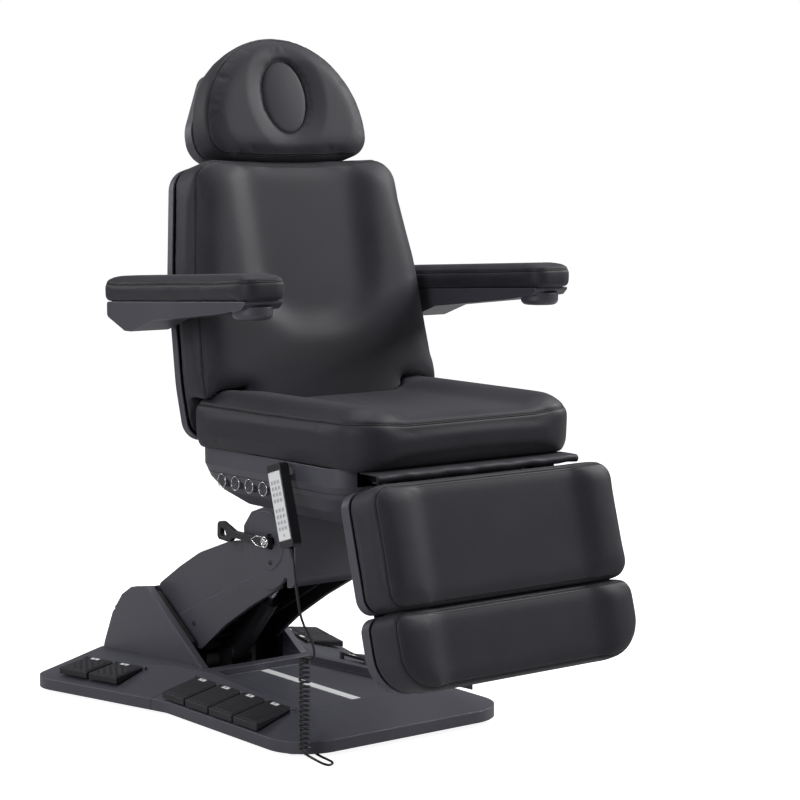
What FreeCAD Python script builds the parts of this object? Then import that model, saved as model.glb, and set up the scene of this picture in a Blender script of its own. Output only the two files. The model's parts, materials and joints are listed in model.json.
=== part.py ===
import FreeCAD, Part
import math
import os

# Electric treatment chair, millimetres, +Z up, -Y to the front, X = 0 is its middle plane.
os.makedirs("parts", exist_ok=True)
V = FreeCAD.Vector
X_AXIS = V(1, 0, 0)
Z_AXIS = V(0, 0, 1)

# Fits
run_gap = 0.05          # radial clearance of a pin in its bore
side_gap = 0.5          # sideways clearance between hinge lugs
soft_gap = 0.25         # clearance round soft and moulded pieces
swing_gap = 3.0         # clearance between covers that turn past each other

# Base
foot_height = 11.0
foot_radius = 22.0
plate_thick = 8.0
rim_height = 25.0
ridge_z = 74.0
cover_wall = 4.0
front_half = 286.0
front_y = -332.0
front_corner = 95.0
waist_y = 150.0
flare_half = 395.0
flare_y = 548.0
tail_half = 110.0
rear_y = 722.0
ridge_front_half = 190.0
ridge_front_y = -215.0
ridge_waist_half = 150.0
ridge_waist_y = 180.0
ridge_flare_half = 232.0
ridge_flare_y = 545.0
ridge_tail_half = 80.0
ridge_tail_y = 655.0
ridge_land = 10.0
recess_floor_z = 58.0
recess_rear_y = 205.0

# Pedals
pedal_width = 84.0
pedal_pitch = 92.0
pedal_length = 94.0
pedal_overhang = 2.0
pedal_tip = 13.0        # thickness at the free end
pedal_root = 6.0        # thickness at the pivot
pedal_rise = 7.0        # free end's height above the flank
pedal_pin = 2.0         # radius of the pivot stubs
front_pedals_y = -16.0
rear_pedals_along = 255.0
rear_pedals_inset = 20.0   # how much further from the rim the rear pair stands

# Pylon and lifting arm
arm_half = 105.0
arm_room = 21.0         # between the lifting arm and the inside of the pylon
pylon_wall = 14.0
pylon_half = arm_half + arm_room + pylon_wall
pylon_relief = 3.0      # of the pylon's lip and side panel
cheek_thick = 12.0
arm_skin = 5.0
arm_wall = 8.0
lift_y = 430.0
lift_z = 165.0
head_y = 15.0
head_z = 390.0
tie_drop_y = -42.0
tie_drop_z = -62.0
tie_inner = 60.0
tie_outer = 70.0
pin_radius = 12.0
head_radius = 85.0
head_gap = 2.0          # between the arm's sides and the head's side plates
head_plate = 8.0
head_half = arm_half + head_gap + head_plate
lever_y = head_y - 18.0      # the lever's hub lies ahead of the head's pivot
lever_reach = 183.0
plate_radius = 84.0
plate_drop = 22.0       # side plate's middle below the pivot
cap_radius = 64.0
cap_thick = 2.0
head_wall = 12.0
head_top_z = 466.0
head_front_y = -92.0
head_low_z = 296.0
lug_thick = 8.0
motor_y = 300.0
motor_z = 84.0
motor_radius = 24.0
motor_eye_half = 27.0
rod_radius = 9.0
rod_eye_y = 110.0
rod_eye_z = 290.0

# Swivel and tilt
swivel_y = -25.0
swivel_radius = 62.0
swivel_thick = 12.0
spigot_radius = 25.0
spigot_depth = 50.0
ear_half = 94.0
ear_thick = 10.0
tilt_z = 545.0
tilt_pin = 8.0

# Seat
seat_half = 307.0
seat_front_half = 287.0
seat_front_y = -543.0
seat_rear_y = 20.0
seat_bottom_z = 608.0
seat_seam_z = 697.0
seat_crown = 31.0
seat_recess_z = 705.0
seat_recess_half = 160.0
tongue_half = 200.0     # half width of the back's lower end, between the seat's rear corners
rail_height = 28.0
rail_width = 30.0
shell_wall = 4.0
button_radius = 13.0
button_pitch = 50.0
button_first_y = -53.0
button_z = 541.0

# Back
back_lean = 12.0
back_y = 45.0
back_z = 592.0
hinge_pin = 7.0
hinge_lug = 12.0
hinge_lug_thick = 12.0
back_lug_x = 213.0
shell_depth = 24.0
back_seam = 113.0
back_crown = 16.0
back_recess = 18.0

# Headrest
head_lean = 14.0
rest_y = 168.0
rest_z = 1203.0
rest_half = 210.0
rest_low = -13.0
rest_high = 250.0
rest_seam = 96.0
rest_shell = 30.0
rest_sag = 8.0          # how far its lower edge hangs down in the middle
rest_shell_top = 186.0
rest_taper = 30.0       # how much thinner the cushion is at its top
rest_crown = 9.0
plug_half_width = 58.0
plug_half_height = 83.0
plug_centre = 114.0
plug_depth = 52.0
bar_radius = 7.0
bar_half = 92.0
post_radius = 6.0
post_half = 62.0
post_length = 170.0
knob_radius = 13.0
knob_length = 26.0

# Armrests
arm_pad_inner = 317.0
arm_pad_width = 108.0
arm_pad_length = 540.0
arm_pad_thick = 50.0
arm_pad_rear_y = 169.0
arm_pad_rear_z = 908.0
arm_pad_rise = 2.8      # degrees, front end up
arm_pivot_along = 292.0
arm_shaft = 10.0
boss_radius = 40.0
boss_y = -315.0
boss_drop = 13.0        # its foot below the pad's rear underside
tray_under = [(-10.0, -30.0, 10.0), (-80.0, -57.0, 14.0), (-106.0, -57.0, 14.0), (-184.0, -30.0, 30.0),
              (-424.0, -4.0, 60.0), (-510.0, 9.0, 8.0), (-522.0, 20.0, 3.0)]   # from the pad's rear underside

# Leg rest and foot pad
leg_lean = 15.5
leg_y = -530.0
leg_z = 590.0
leg_half = 306.0
leg_start = -14.0
leg_length = 240.0
leg_shell_depth = 29.0
leg_rear = -37.0
leg_seam = 77.0
leg_crown = 11.0
leg_pin = 6.0
leg_lug_x = 202.0
foot_gap = 1.5
lip_half = 262.0
lip_reach = 16.0
lip_thick = 3.0
foot_length = 155.0
rail_half = 120.0
rail_radius = 5.0
rail_length = 245.0
guide_wall = 2.5
guide_length = 120.0

# Flap over the leg hinge
flap_half = 258.0
flap_thick = 2.0
flap_roll = 9.0
flap_y = -558.0
flap_tail = 48.0        # run of the flap under the seat
flap_lip = 8.0          # run of its free edge

# Handset and cord
cord_clamp_x = -172.0
cord_clamp_y = -276.0
cord_clamp_size = 22.0
handset_width = 46.0
handset_height = 168.0
handset_thick = 22.0
handset_x = -316.0      # outer face
handset_top_y = -300.0
handset_top_z = 606.0
handset_lean = -16.5
cord_radius = 2.5
curl_radius = 9.4       # to the middle of the cord
curl_turns = 19.5
curl_arcs = 4           # arcs drawn for each turn
curl_top_z = 214.0
curl_pitch = 9.6
curl_x = -266.0
curl_y = -336.0


def box(x0, x1, y0, y1, z0, z1):
    return Part.makeBox(x1 - x0, y1 - y0, z1 - z0, V(x0, y0, z0))


def rod_x(y, z, radius, x0, x1):
    return Part.makeCylinder(radius, x1 - x0, V(x0, y, z), X_AXIS)


def rod_between(start, end, radius):
    return Part.makeCylinder(radius, (end - start).Length, start, end - start)


def mirrored(solid):
    return solid.mirror(V(0, 0, 0), X_AXIS)


def fused(solids):
    return solids[0].multiFuse(solids[1:]).removeSplitter()


def both_sides(half):
    """Closed outline from the corners of its +X half, listed front to rear."""
    return half + [(-x, y, r) for x, y, r in reversed(half)]


def rounded(corners, z=0.0):
    """Closed wire through (x, y, radius) corners, with a tangent arc at each corner."""
    starts, middles, ends = [], [], []
    for i, (x, y, radius) in enumerate(corners):
        corner = V(x, y, z)
        back = V(corners[i - 1][0], corners[i - 1][1], z) - corner
        ahead = V(corners[(i + 1) % len(corners)][0], corners[(i + 1) % len(corners)][1], z) - corner
        back.normalize()
        ahead.normalize()
        half_angle = back.getAngle(ahead) / 2
        starts.append(corner + back * (radius / math.tan(half_angle)))
        ends.append(corner + ahead * (radius / math.tan(half_angle)))
        inwards = (back + ahead).normalize()
        middles.append(corner + inwards * (radius / math.sin(half_angle) - radius))
    edges = []
    for i, corner in enumerate(corners):
        if corner[2] > 0:
            edges.append(Part.Arc(starts[i], middles[i], ends[i]).toShape())
        following = starts[(i + 1) % len(corners)]
        if (following - ends[i]).Length > 1e-6:
            edges.append(Part.LineSegment(ends[i], following).toShape())
    return Part.Wire(edges)


def inset(corners, distance):
    """The same outline drawn in by a distance all round."""
    result = []
    for i, (x, y, radius) in enumerate(corners):
        before = V(x - corners[i - 1][0], y - corners[i - 1][1], 0).normalize()
        after_x, after_y = corners[(i + 1) % len(corners)][:2]
        after = V(after_x - x, after_y - y, 0).normalize()
        left_before = V(-before.y, before.x, 0)
        left_after = V(-after.y, after.x, 0)
        shift = (left_before + left_after) * (distance / (1 + left_before.dot(left_after)))
        convex = before.cross(after).z > 0
        new_radius = max(radius - distance, 2.0) if convex else radius + distance
        result.append((x + shift.x, y + shift.y, new_radius))
    return result


def crowned(corners, levels):
    """Solid through the outline at each (height, inset) level."""
    return Part.makeLoft([rounded(inset(corners, d), z) for z, d in levels], True, True)


def slab_z(corners, z0, z1):
    return Part.Face(rounded(corners, z0)).extrude(V(0, 0, z1 - z0))


def slab_x(corners, x0, x1):
    """Solid of a (y, z, radius) outline, extruded along X."""
    flat = Part.Face(rounded(corners)).extrude(V(0, 0, x1 - x0))
    turn = FreeCAD.Rotation(V(0, 1, 0), V(0, 0, 1), V(1, 0, 0), "ZXY")
    flat.Placement = FreeCAD.Placement(V(x0, 0, 0), turn)
    return flat


def plain(points):
    return [(u, v, 0.0) for u, v in points]


def stood_up(shape, lean, y, z):
    """A piece drawn flat, stood up against a lean, with its own origin at a place on X = 0."""
    shape.rotate(V(0, 0, 0), X_AXIS, 90.0 - lean)
    shape.translate(V(0, y, z))
    return shape


def leaning_point(x, along, out, lean, y, z):
    angle = math.radians(lean)
    return V(x, y + along * math.sin(angle) - out * math.cos(angle),
             z + along * math.cos(angle) + out * math.sin(angle))


def back_point(x, along, out):
    return leaning_point(x, along, out, back_lean, back_y, back_z)


def save(name, *solids):
    shape = solids[0] if len(solids) == 1 else Part.makeCompound(list(solids))
    shape.exportStep("parts/" + name + ".step")


# Base

rim_top = foot_height + rim_height
rim_half = [(front_half, front_y, front_corner), (front_half, waist_y, 60.0),
            (flare_half, flare_y, 70.0), (tail_half, rear_y, 120.0)]
ridge_half = [(ridge_front_half, ridge_front_y, 26.0), (ridge_waist_half, ridge_waist_y, 60.0),
              (ridge_flare_half, ridge_flare_y, 40.0), (ridge_tail_half, ridge_tail_y, 60.0)]
flare_angle = math.degrees(math.atan((flare_half - front_half) / (flare_y - waist_y)))
front_flank = front_half - ridge_front_half
rear_flank = (flare_half - ridge_flare_half + front_half - ridge_waist_half) / 2
rear_flank = rear_flank * math.cos(math.radians(flare_angle))
pedal_fall = {"front": (ridge_z - rim_top) / front_flank, "rear": (ridge_z - rim_top) / rear_flank}
pylon_profile = [(676.0, 45.0, 4.0), (628.0, 140.0, 8.0), (600.0, 162.0, 8.0), (575.0, 190.0, 8.0),
                 (532.0, 214.0, 12.0), (458.0, 226.0, 6.0), (222.0, 70.0, 4.0), (222.0, 40.0, 4.0)]
pylon_lip = [(458.0, 226.0), (222.0, 70.0), (230.0, 58.0), (466.0, 214.0)]
pylon_panel = [(612.0, 156.0), (476.0, 40.0), (760.0, 40.0), (760.0, 156.0)]


def base_cover():
    rim = both_sides(rim_half)
    ridge = both_sides(ridge_half)
    skirt = slab_z(rim, foot_height, rim_top)
    flank = Part.makeLoft([rounded(rim, rim_top), rounded(ridge, ridge_z)], True, True)
    cover = skirt.fuse(flank)
    falling = [(300.0, ridge_z), (780.0, rim_top), (780.0, 150.0), (300.0, 150.0)]
    cover = cover.cut(slab_x(plain(falling), -500.0, 500.0))
    recess = inset(both_sides([ridge_half[0], (ridge_waist_half - 14.0, recess_rear_y, 6.0)]), ridge_land)
    cover = cover.cut(slab_z(recess, recess_floor_z, ridge_z + 10.0))
    inner_low = rim_top - 2 * cover_wall
    hollow = slab_z(inset(rim, cover_wall), foot_height - 1.0, inner_low)
    cover = cover.cut(hollow)
    attic = Part.makeLoft([rounded(inset(rim, 3 * cover_wall), inner_low),
                           rounded(inset(ridge, 3 * cover_wall), ridge_z - 3 * cover_wall)], True, True)
    attic = attic.cut(slab_x(plain(falling), -500.0, 500.0).translated(V(0, 0, -2 * cover_wall)))
    tub = slab_z(inset(recess, -cover_wall), recess_floor_z - cover_wall, ridge_z)
    tower = box(-pylon_half, pylon_half, recess_rear_y + 6.0, rear_y, inner_low - 1.0, ridge_z)
    cover = cover.cut(attic.cut(tub).cut(tower))
    well = box(-pylon_half + pylon_wall, pylon_half - pylon_wall, recess_rear_y + 20.0, 560.0, 0.0, 120.0)
    cover = cover.cut(well)
    for lug in pedal_lugs():
        cover = cover.fuse(lug)
    return cover.removeSplitter()


def pedal_profile(group):
    """Side view of a pedal: (distance outwards, height), with its pivot at the origin."""
    reach = pedal_length - pedal_root
    root = pedal_root / 2
    tip_under = pedal_rise - reach * pedal_fall[group] - root
    return [(-root, root), (-root, -root), (root, -root), (reach, tip_under), (reach, tip_under + pedal_tip)]


def pedal_solid(group):
    outline = [V(u, 0, w) for u, w in pedal_profile(group)]
    outline.append(outline[0])
    body = Part.Face(Part.makePolygon(outline)).extrude(V(0, pedal_width, 0))
    body.translate(V(0, -pedal_width / 2, 0))
    stub = (pedal_pitch - pedal_width) / 2 - side_gap
    pin = Part.makeCylinder(pedal_pin, pedal_width + 2 * stub, V(0, -pedal_width / 2 - stub, 0), V(0, 1, 0))
    return body.fuse(pin).removeSplitter()


def pivot_inset(group):
    extra = rear_pedals_inset if group == "rear" else 0.0
    return pedal_length - pedal_root - pedal_overhang + extra


def pivot_height(group):
    return rim_top + pivot_inset(group) * pedal_fall[group] + pedal_root / 2 + side_gap


def on_flank(shape, group, step):
    """A piece drawn at a pedal's pivot, moved to place `step` of the front or rear group on the +X side."""
    if group == "front":
        along = front_pedals_y + step * pedal_pitch
        shape.translate(V(front_half - pivot_inset(group), along, pivot_height(group)))
        return shape
    shape.translate(V(-pivot_inset(group), rear_pedals_along + step * pedal_pitch, pivot_height(group)))
    shape.rotate(V(0, 0, 0), Z_AXIS, -flare_angle)
    shape.translate(V(front_half, waist_y, 0))
    return shape


pedal_places = [("front", -1.5), ("front", -0.5), ("front", 0.5), ("front", 1.5),
                ("rear", -0.5), ("rear", 0.5)]
lug_places = [("front", -2.0), ("front", -1.0), ("front", 0.0), ("front", 1.0), ("front", 2.0),
              ("rear", -1.0), ("rear", 0.0), ("rear", 1.0)]


def pedal_lugs():
    """Small bearing blocks that stand between the pedals and take their pivot stubs."""
    thick = pedal_pitch - pedal_width - 2 * side_gap
    lugs = []
    for group, step in lug_places:
        block = box(-4.0, 4.0, -thick / 2, thick / 2, -14.0, 4.0)
        bore = Part.makeCylinder(pedal_pin + run_gap, thick + 2, V(0, -thick / 2 - 1, 0), V(0, 1, 0))
        block = on_flank(block.cut(bore), group, step)
        lugs += [block, mirrored(block)]
    return lugs


def build_pedals():
    for number, (group, step) in enumerate(pedal_places, start=1):
        solid = on_flank(pedal_solid(group), group, step)
        save("pedal_left_%d" % number, solid)
        save("pedal_right_%d" % number, mirrored(solid))


def pylon_cover():
    outer = slab_x(pylon_profile, -pylon_half, pylon_half)
    inner_half = pylon_half - pylon_wall
    hollow_profile = [(560.0, 30.0), (560.0, 175.0), (535.0, 235.0),
                      (440.0, 250.0), (180.0, 90.0), (180.0, 30.0)]
    hollow = slab_x(plain(hollow_profile), -inner_half, inner_half)
    cover = outer.cut(hollow)
    bevel = plain([(pylon_half + 1, 700.0), (pylon_half - 14, 700.0), (pylon_half + 1, 640.0)])
    corner = Part.Face(rounded(bevel, 0.0)).extrude(V(0, 0, 300.0))
    cover = cover.cut(corner).cut(mirrored(corner))
    lip = slab_x(plain(list(reversed(pylon_lip))), pylon_half - 1, pylon_half + pylon_relief)
    panel = slab_x(plain(pylon_panel), pylon_half - 2 * pylon_relief, pylon_half + 1)
    cover = cover.cut(panel).cut(mirrored(panel))
    cover = fused([cover, lip, mirrored(lip)])
    return max(cover.cut(base_cover_shape).Solids, key=lambda piece: piece.Volume)


def base_frame():
    plate = slab_z(inset(both_sides(rim_half), cover_wall + soft_gap), foot_height, foot_height + plate_thick)
    outer = pylon_half - pylon_wall - soft_gap
    solids = [plate]
    cheek = [(540.0, foot_height), (540.0, 150.0), (500.0, 205.0), (445.0, 214.0), (300.0, 120.0),
             (300.0, foot_height)]
    for sign in (-1, 1):
        x0, x1 = sorted((sign * outer, sign * (outer - cheek_thick)))
        solids.append(slab_x(plain(cheek), x0, x1))
    solids.append(rod_x(lift_y, lift_z, pin_radius, -outer, outer))
    tie_y, tie_z = lift_y + tie_drop_y, lift_z + tie_drop_z
    solids.append(rod_x(tie_y, tie_z, pin_radius, -tie_outer - 2.0, tie_outer + 2.0))
    for sign in (-1, 1):
        x0, x1 = sorted((sign * (tie_inner - 20.0), sign * (tie_inner - 8.0)))
        solids.append(box(x0, x1, tie_y - 20.0, tie_y + 20.0, foot_height, tie_z + 16.0))
    clamp_end = cord_clamp_x + cord_clamp_size
    clamp_y0 = cord_clamp_y - cord_clamp_size / 2
    solids.append(box(cord_clamp_x, clamp_end, clamp_y0, clamp_y0 + cord_clamp_size, 2.0, foot_height))
    ear_thickness = 10.0
    ear = [(motor_y - 18.0, foot_height), (motor_y - 18.0, motor_z + 14.0), (motor_y + 18.0, motor_z + 14.0),
           (motor_y + 18.0, foot_height)]
    for sign in (-1, 1):
        x0 = sign * (motor_eye_half + side_gap)
        x1 = x0 + sign * ear_thickness
        solids.append(slab_x(plain(ear), min(x0, x1), max(x0, x1)))
    ear_outer = motor_eye_half + ear_thickness
    solids.append(rod_x(motor_y, motor_z, tilt_pin, -ear_outer, ear_outer))
    return fused(solids)


def base_feet():
    places = [(230.0, -250.0), (300.0, 500.0)]
    feet = []
    for x, y in places:
        foot = Part.makeCone(foot_radius - 3, foot_radius, foot_height, V(x, y, 0))
        feet += [foot, mirrored(foot)]
    return feet


base_cover_shape = base_cover()
save("base_cover", base_cover_shape)
save("pylon_cover", pylon_cover())
save("base_frame", base_frame())
save("base_feet", *base_feet())
build_pedals()

inlet_width = 48.0
inlet_height = 16.0
inlet = box(-inlet_width / 2, inlet_width / 2, rear_y, rear_y + 3.0, foot_height + 4.0,
            foot_height + 4.0 + inlet_height)
socket = box(-14.0, 14.0, rear_y - 1, rear_y + 4.0, foot_height + 7.0, foot_height + 17.0)
save("mains_inlet", inlet.cut(socket))

# Lifting arm

arm_top = [(463.0, 229.0, 20.0), (376.0, 281.0, 120.0), (292.0, 325.0, 160.0), (170.0, 367.0, 120.0)]
arm_low = [(-20.0, 291.0, 6.0), (93.0, 233.0, 200.0), (192.0, 175.0, 200.0), (290.0, 104.0, 20.0),
           (400.0, 92.0, 30.0), (492.0, 140.0, 40.0)]


def arm_profile(drop):
    """Side view of the arm, drawn in by a wall thickness along its top."""
    return [(y, z - drop, r) for y, z, r in arm_top] + [(70.0, 380.0 - drop, 10.0)] + arm_low


def arm_block(drop, x0, x1):
    block = slab_x(list(reversed(arm_profile(drop))), x0, x1)
    return block.cut(rod_x(head_y, head_z, head_radius + swing_gap, x0 - 1, x1 + 1))


def under_seam(x0, x1):
    """The part of the arm's side below its cover seam."""
    seam = [(600.0, 70.0), (357.0, 180.0), (211.0, 246.0), (61.0, 309.0),
            (-150.0, 398.0), (-150.0, 0.0), (600.0, 0.0)]
    return slab_x(plain(seam), x0, x1)


def arm_frame():
    outer = arm_half - arm_skin
    inner = outer - arm_wall
    shell = arm_block(arm_skin, -outer, outer)
    hollow = [(y, z - arm_skin - arm_wall, r) for y, z, r in arm_top]
    hollow += [(-60.0, 400.0, 10.0), (-60.0, 60.0, 10.0), (520.0, 60.0, 10.0), (520.0, 180.0, 10.0)]
    shell = shell.cut(slab_x(list(reversed(hollow)), -inner, inner))
    solids = [shell]
    for sign in (-1, 1):
        x0, x1 = sorted((sign * inner, sign * (inner - lug_thick)))
        solids.append(rod_x(head_y, head_z, 34.0, x0, x1))
        bar = [(head_y - 12.0, head_z - 30.0), (head_y + 18.0, head_z + 22.0), (250.0, 275.0), (225.0, 215.0)]
        solids.append(slab_x(plain(bar), x0, x1))
        solids.append(rod_x(lift_y, lift_z, 34.0, x0, x1))
        eye_side = sign * (rod_radius + 8.0)
        e0, e1 = sorted((eye_side, eye_side + sign * 8.0))
        bracket = [(rod_eye_y - 22.0, rod_eye_z - 24.0), (rod_eye_y + 22.0, rod_eye_z - 24.0),
                   (rod_eye_y + 55.0, 352.0), (rod_eye_y + 6.0, 366.0)]
        solids.append(slab_x(plain(bracket), e0, e1))
    frame = fused(solids)
    for y, z in ((head_y, head_z), (lift_y, lift_z)):
        frame = frame.cut(rod_x(y, z, pin_radius + run_gap, -outer - 1, outer + 1))
    return frame


def arm_covers():
    outer = arm_half - arm_skin
    skin = arm_block(0.0, -arm_half, arm_half).cut(arm_block(arm_skin, -outer, outer))
    skin = skin.cut(box(-outer, outer, -100.0, 600.0, 0.0, lift_z))
    reach = rod_x(lift_y, lift_z, pin_radius + 2.0, -arm_half - 1, arm_half + 1)
    skin = skin.cut(reach)
    lower = skin.common(under_seam(-arm_half - 1, -outer)).Solids
    lower = lower + skin.common(under_seam(outer, arm_half + 1)).Solids
    upper = skin
    for x0, x1 in ((-arm_half - 1, -outer), (outer, arm_half + 1)):
        upper = upper.cut(under_seam(x0, x1))
    return upper, lower


save("arm_frame", arm_frame())
arm_upper, arm_lower = arm_covers()
save("arm_top_cover", max(arm_upper.Solids, key=lambda piece: piece.Volume))
save("arm_side_covers", *arm_lower)


def tie_bar():
    low = (lift_y + tie_drop_y, lift_z + tie_drop_z)
    high = (head_y + tie_drop_y, head_z + tie_drop_z)
    length = math.dist(low, high)
    across = ((high[1] - low[1]) / length * 9.0, -(high[0] - low[0]) / length * 9.0)
    sides = []
    for sign in (-1, 1):
        x0, x1 = sorted((sign * tie_inner, sign * tie_outer))
        bar = [(low[0] + across[0], low[1] + across[1]), (high[0] + across[0], high[1] + across[1]),
               (high[0] - across[0], high[1] - across[1]), (low[0] - across[0], low[1] - across[1])]
        strap = slab_x(plain(bar), x0, x1)
        for y, z in (low, high):
            strap = strap.fuse(rod_x(y, z, pin_radius + 8.0, x0, x1))
        strap = strap.cut(rod_x(low[0], low[1], pin_radius + run_gap, x0 - 1, x1 + 1))
        sides.append(strap.cut(rod_x(high[0], high[1], pin_radius + 1.0, x0 - 1, x1 + 1)))
    return sides


save("tie_bars", *tie_bar())

motor_foot = V(0, motor_y, motor_z)
rod_eye = V(0, rod_eye_y, rod_eye_z)
rod_way = (rod_eye - motor_foot).normalize()
tube_start = motor_foot + rod_way * 12.0
tube_end = motor_foot + rod_way * 190.0
motor_tube = rod_between(tube_start, tube_end, motor_radius)
motor_eye = rod_x(motor_y, motor_z, 20.0, -motor_eye_half, motor_eye_half)
motor_body = fused([motor_tube, motor_eye])
motor_body = motor_body.cut(rod_x(motor_y, motor_z, tilt_pin + run_gap, -40.0, 40.0))
bore_start = motor_foot + rod_way * 40.0
rod_start = motor_foot + rod_way * 75.0
motor_body = motor_body.cut(rod_between(bore_start, tube_end + rod_way, rod_radius + run_gap))
save("lift_motor", motor_body)
rod_eye_solid = rod_x(rod_eye_y, rod_eye_z, 14.0, -rod_radius - 2.0, rod_radius + 2.0)
save("lift_rod", fused([rod_between(rod_start, rod_eye, rod_radius), rod_eye_solid]))

# Head with its swivel lever

core_half = arm_half - arm_skin - arm_wall - lug_thick - side_gap
head_profile = [(head_y + head_radius, head_z - 40.0, 4.0), (head_y + head_radius, head_z + 22.0, 12.0),
                (70.0, 446.0, 12.0), (10.0, head_top_z, 12.0), (head_front_y, head_top_z, 10.0),
                (head_front_y, head_low_z, 24.0), (head_y - 20.0, head_z - head_radius, 12.0),
                (head_y + 40.0, head_z - head_radius, 12.0)]


def head_block(x0, x1):
    """Side view of the head: a round rear and foot about its pivot, with a flat top and front."""
    block = slab_x(list(head_profile), x0, x1)
    keep = fused([rod_x(head_y, head_z, head_radius, x0, x1),
                  box(x0, x1, head_front_y - 1, head_y + head_radius + 1, head_z, head_top_z + 1),
                  box(x0, x1, head_front_y - 1, head_y - 62.0, head_low_z + 22.0, head_top_z + 1),
                  box(x0, x1, head_front_y - 1, head_y - 78.0, head_low_z - 1, head_top_z + 1)])
    return block.common(keep)


def head_core():
    block_front = head_front_y + head_wall + soft_gap
    block = box(-core_half, core_half, block_front, head_y + 50.0, head_z - 34.0, head_top_z)
    back_room = box(-core_half, core_half, head_y + 42.0, head_y + 60.0, head_z + 40.0, head_top_z + 1)
    tie_y, tie_z = head_y + tie_drop_y, head_z + tie_drop_z
    low = box(-50.0, 50.0, tie_y - 24.0, tie_y + 24.0, tie_z - 20.0,
              head_z - 30.0)
    pin_half = head_half - head_wall - soft_gap
    core = fused([block.cut(back_room), low, rod_x(head_y, head_z, pin_radius, -pin_half, pin_half),
                  rod_x(tie_y, tie_z, pin_radius, -tie_outer - 2.0, tie_outer + 2.0)])
    spigot_foot = V(0, swivel_y, head_top_z - spigot_depth)
    spigot_room = Part.makeCylinder(spigot_radius + run_gap, spigot_depth + 1, spigot_foot)
    return core.cut(spigot_room)


def head_cover():
    inner = head_half - head_wall
    cover = head_block(-head_half, head_half)
    room = box(-inner, inner, head_front_y + head_wall, head_y + head_radius + 20.0, 280.0, head_top_z + 1)
    cover = cover.cut(room)
    plate = rod_x(head_y, head_z - plate_drop, plate_radius, arm_half + head_gap, head_half)
    cap = rod_x(head_y, head_z, cap_radius, head_half - 1, head_half + cap_thick)
    cover = fused(cover.Solids + [plate, cap, mirrored(plate), mirrored(cap)])
    cup = rod_x(lever_y, head_z, 17.0, -head_half - cap_thick - 1, -head_half + 6.0)
    return cover.cut(cup)


lever_x = -head_half - cap_thick - 3.0
lever_thick = 12.0


def swivel_lever():
    """Flat handle with a finger loop, on a short shaft in the head's side."""
    shaft = rod_x(lever_y, head_z, 8.0, lever_x - lever_thick, -head_half + 6.0)
    hub = rod_x(lever_y, head_z, 13.0, lever_x - lever_thick, lever_x)
    end_y = lever_y + lever_reach
    blade = [(lever_y, 8.0, 2.0), (lever_y, -8.0, 2.0), (end_y - 60.0, -6.0, 20.0),
             (end_y - 46.0, -18.0, 10.0), (end_y, -16.0, 10.0), (end_y - 2.0, 24.0, 10.0),
             (end_y - 20.0, 24.0, 10.0), (end_y - 64.0, 8.0, 20.0)]
    loop = [(end_y - 38.0, -8.0, 5.0), (end_y - 12.0, -8.0, 5.0), (end_y - 12.0, 12.0, 5.0),
            (end_y - 30.0, 8.0, 5.0)]
    blade = [(y, head_z + rise, radius) for y, rise, radius in blade]
    loop = [(y, head_z + rise, radius) for y, rise, radius in loop]
    handle = slab_x(list(reversed(blade)), lever_x - lever_thick, lever_x)
    handle = handle.cut(slab_x(loop, lever_x - lever_thick - 1, lever_x + 1))
    return fused([shaft, hub, handle])


save("head_core", head_core())
save("head_cover", *head_cover().Solids)
save("swivel_lever", swivel_lever())


def swivel_plate():
    base_z = head_top_z + side_gap
    disc = Part.makeCylinder(swivel_radius, swivel_thick, V(0, swivel_y, base_z))
    spigot = Part.makeCylinder(spigot_radius, spigot_depth - 2.0, V(0, swivel_y, base_z - spigot_depth + 3.0))
    wings = box(-ear_half, ear_half, swivel_y - 30.0, swivel_y + 30.0, base_z + 2.0, base_z + swivel_thick)
    solids = [disc, spigot, wings]
    ear = [(swivel_y - 28.0, base_z + 2.0, 2.0), (swivel_y + 28.0, base_z + 2.0, 2.0),
           (swivel_y + 20.0, tilt_z + 16.0, 14.0), (swivel_y - 20.0, tilt_z + 16.0, 14.0)]
    for sign in (-1, 1):
        x0, x1 = sorted((sign * ear_half, sign * (ear_half - ear_thick)))
        solids.append(slab_x(ear, x0, x1))
    plate = fused(solids)
    return plate.cut(rod_x(swivel_y, tilt_z, tilt_pin + run_gap, -ear_half - 1, ear_half + 1))


save("swivel_plate", swivel_plate())

# Seat

rail_top = seat_bottom_z - soft_gap
rail_low = rail_top - rail_height
lug_inner = ear_half + side_gap
seat_corners = both_sides([(seat_front_half, seat_front_y, 75.0), (seat_half, seat_rear_y, 32.0)])
seat_top = seat_seam_z + seat_crown
lean_slope = math.tan(math.radians(back_lean))
back_face_y = back_y - back_seam / math.cos(math.radians(back_lean))
seat_levels = [(seat_bottom_z, 10.0), (seat_bottom_z + 20.0, 1.0), (seat_seam_z - 7.0, 0.0),
               (seat_seam_z, 4.0), (seat_top - 12.0, 20.0), (seat_top, 46.0)]


def seat_cushion():
    cushion = crowned(seat_corners, seat_levels)
    slope = seat_recess_half + 60.0
    recess = [V(-seat_recess_half, 0, seat_recess_z), V(seat_recess_half, 0, seat_recess_z),
              V(slope, 0, seat_top + 4), V(-slope, 0, seat_top + 4)]
    recess.append(recess[0])
    channel = Part.Face(Part.makePolygon(recess)).extrude(V(0, 800.0, 0))
    channel.translate(V(0, seat_front_y - 50.0, 0))
    return cushion.cut(channel).cut(back_room(4.0))


def back_room(gap):
    """Room between the seat's rear corners for the lower end of the back."""
    def face_y(z):
        return back_face_y + (z - back_z) * lean_slope - gap - back_crown
    low, high = seat_bottom_z - 20.0, seat_top + 20.0
    room = [(face_y(low), low), (face_y(high), high), (seat_rear_y + 60.0, high), (seat_rear_y + 60.0, low)]
    return slab_x(plain(list(reversed(room))), -tongue_half - gap, tongue_half + gap)


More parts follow.
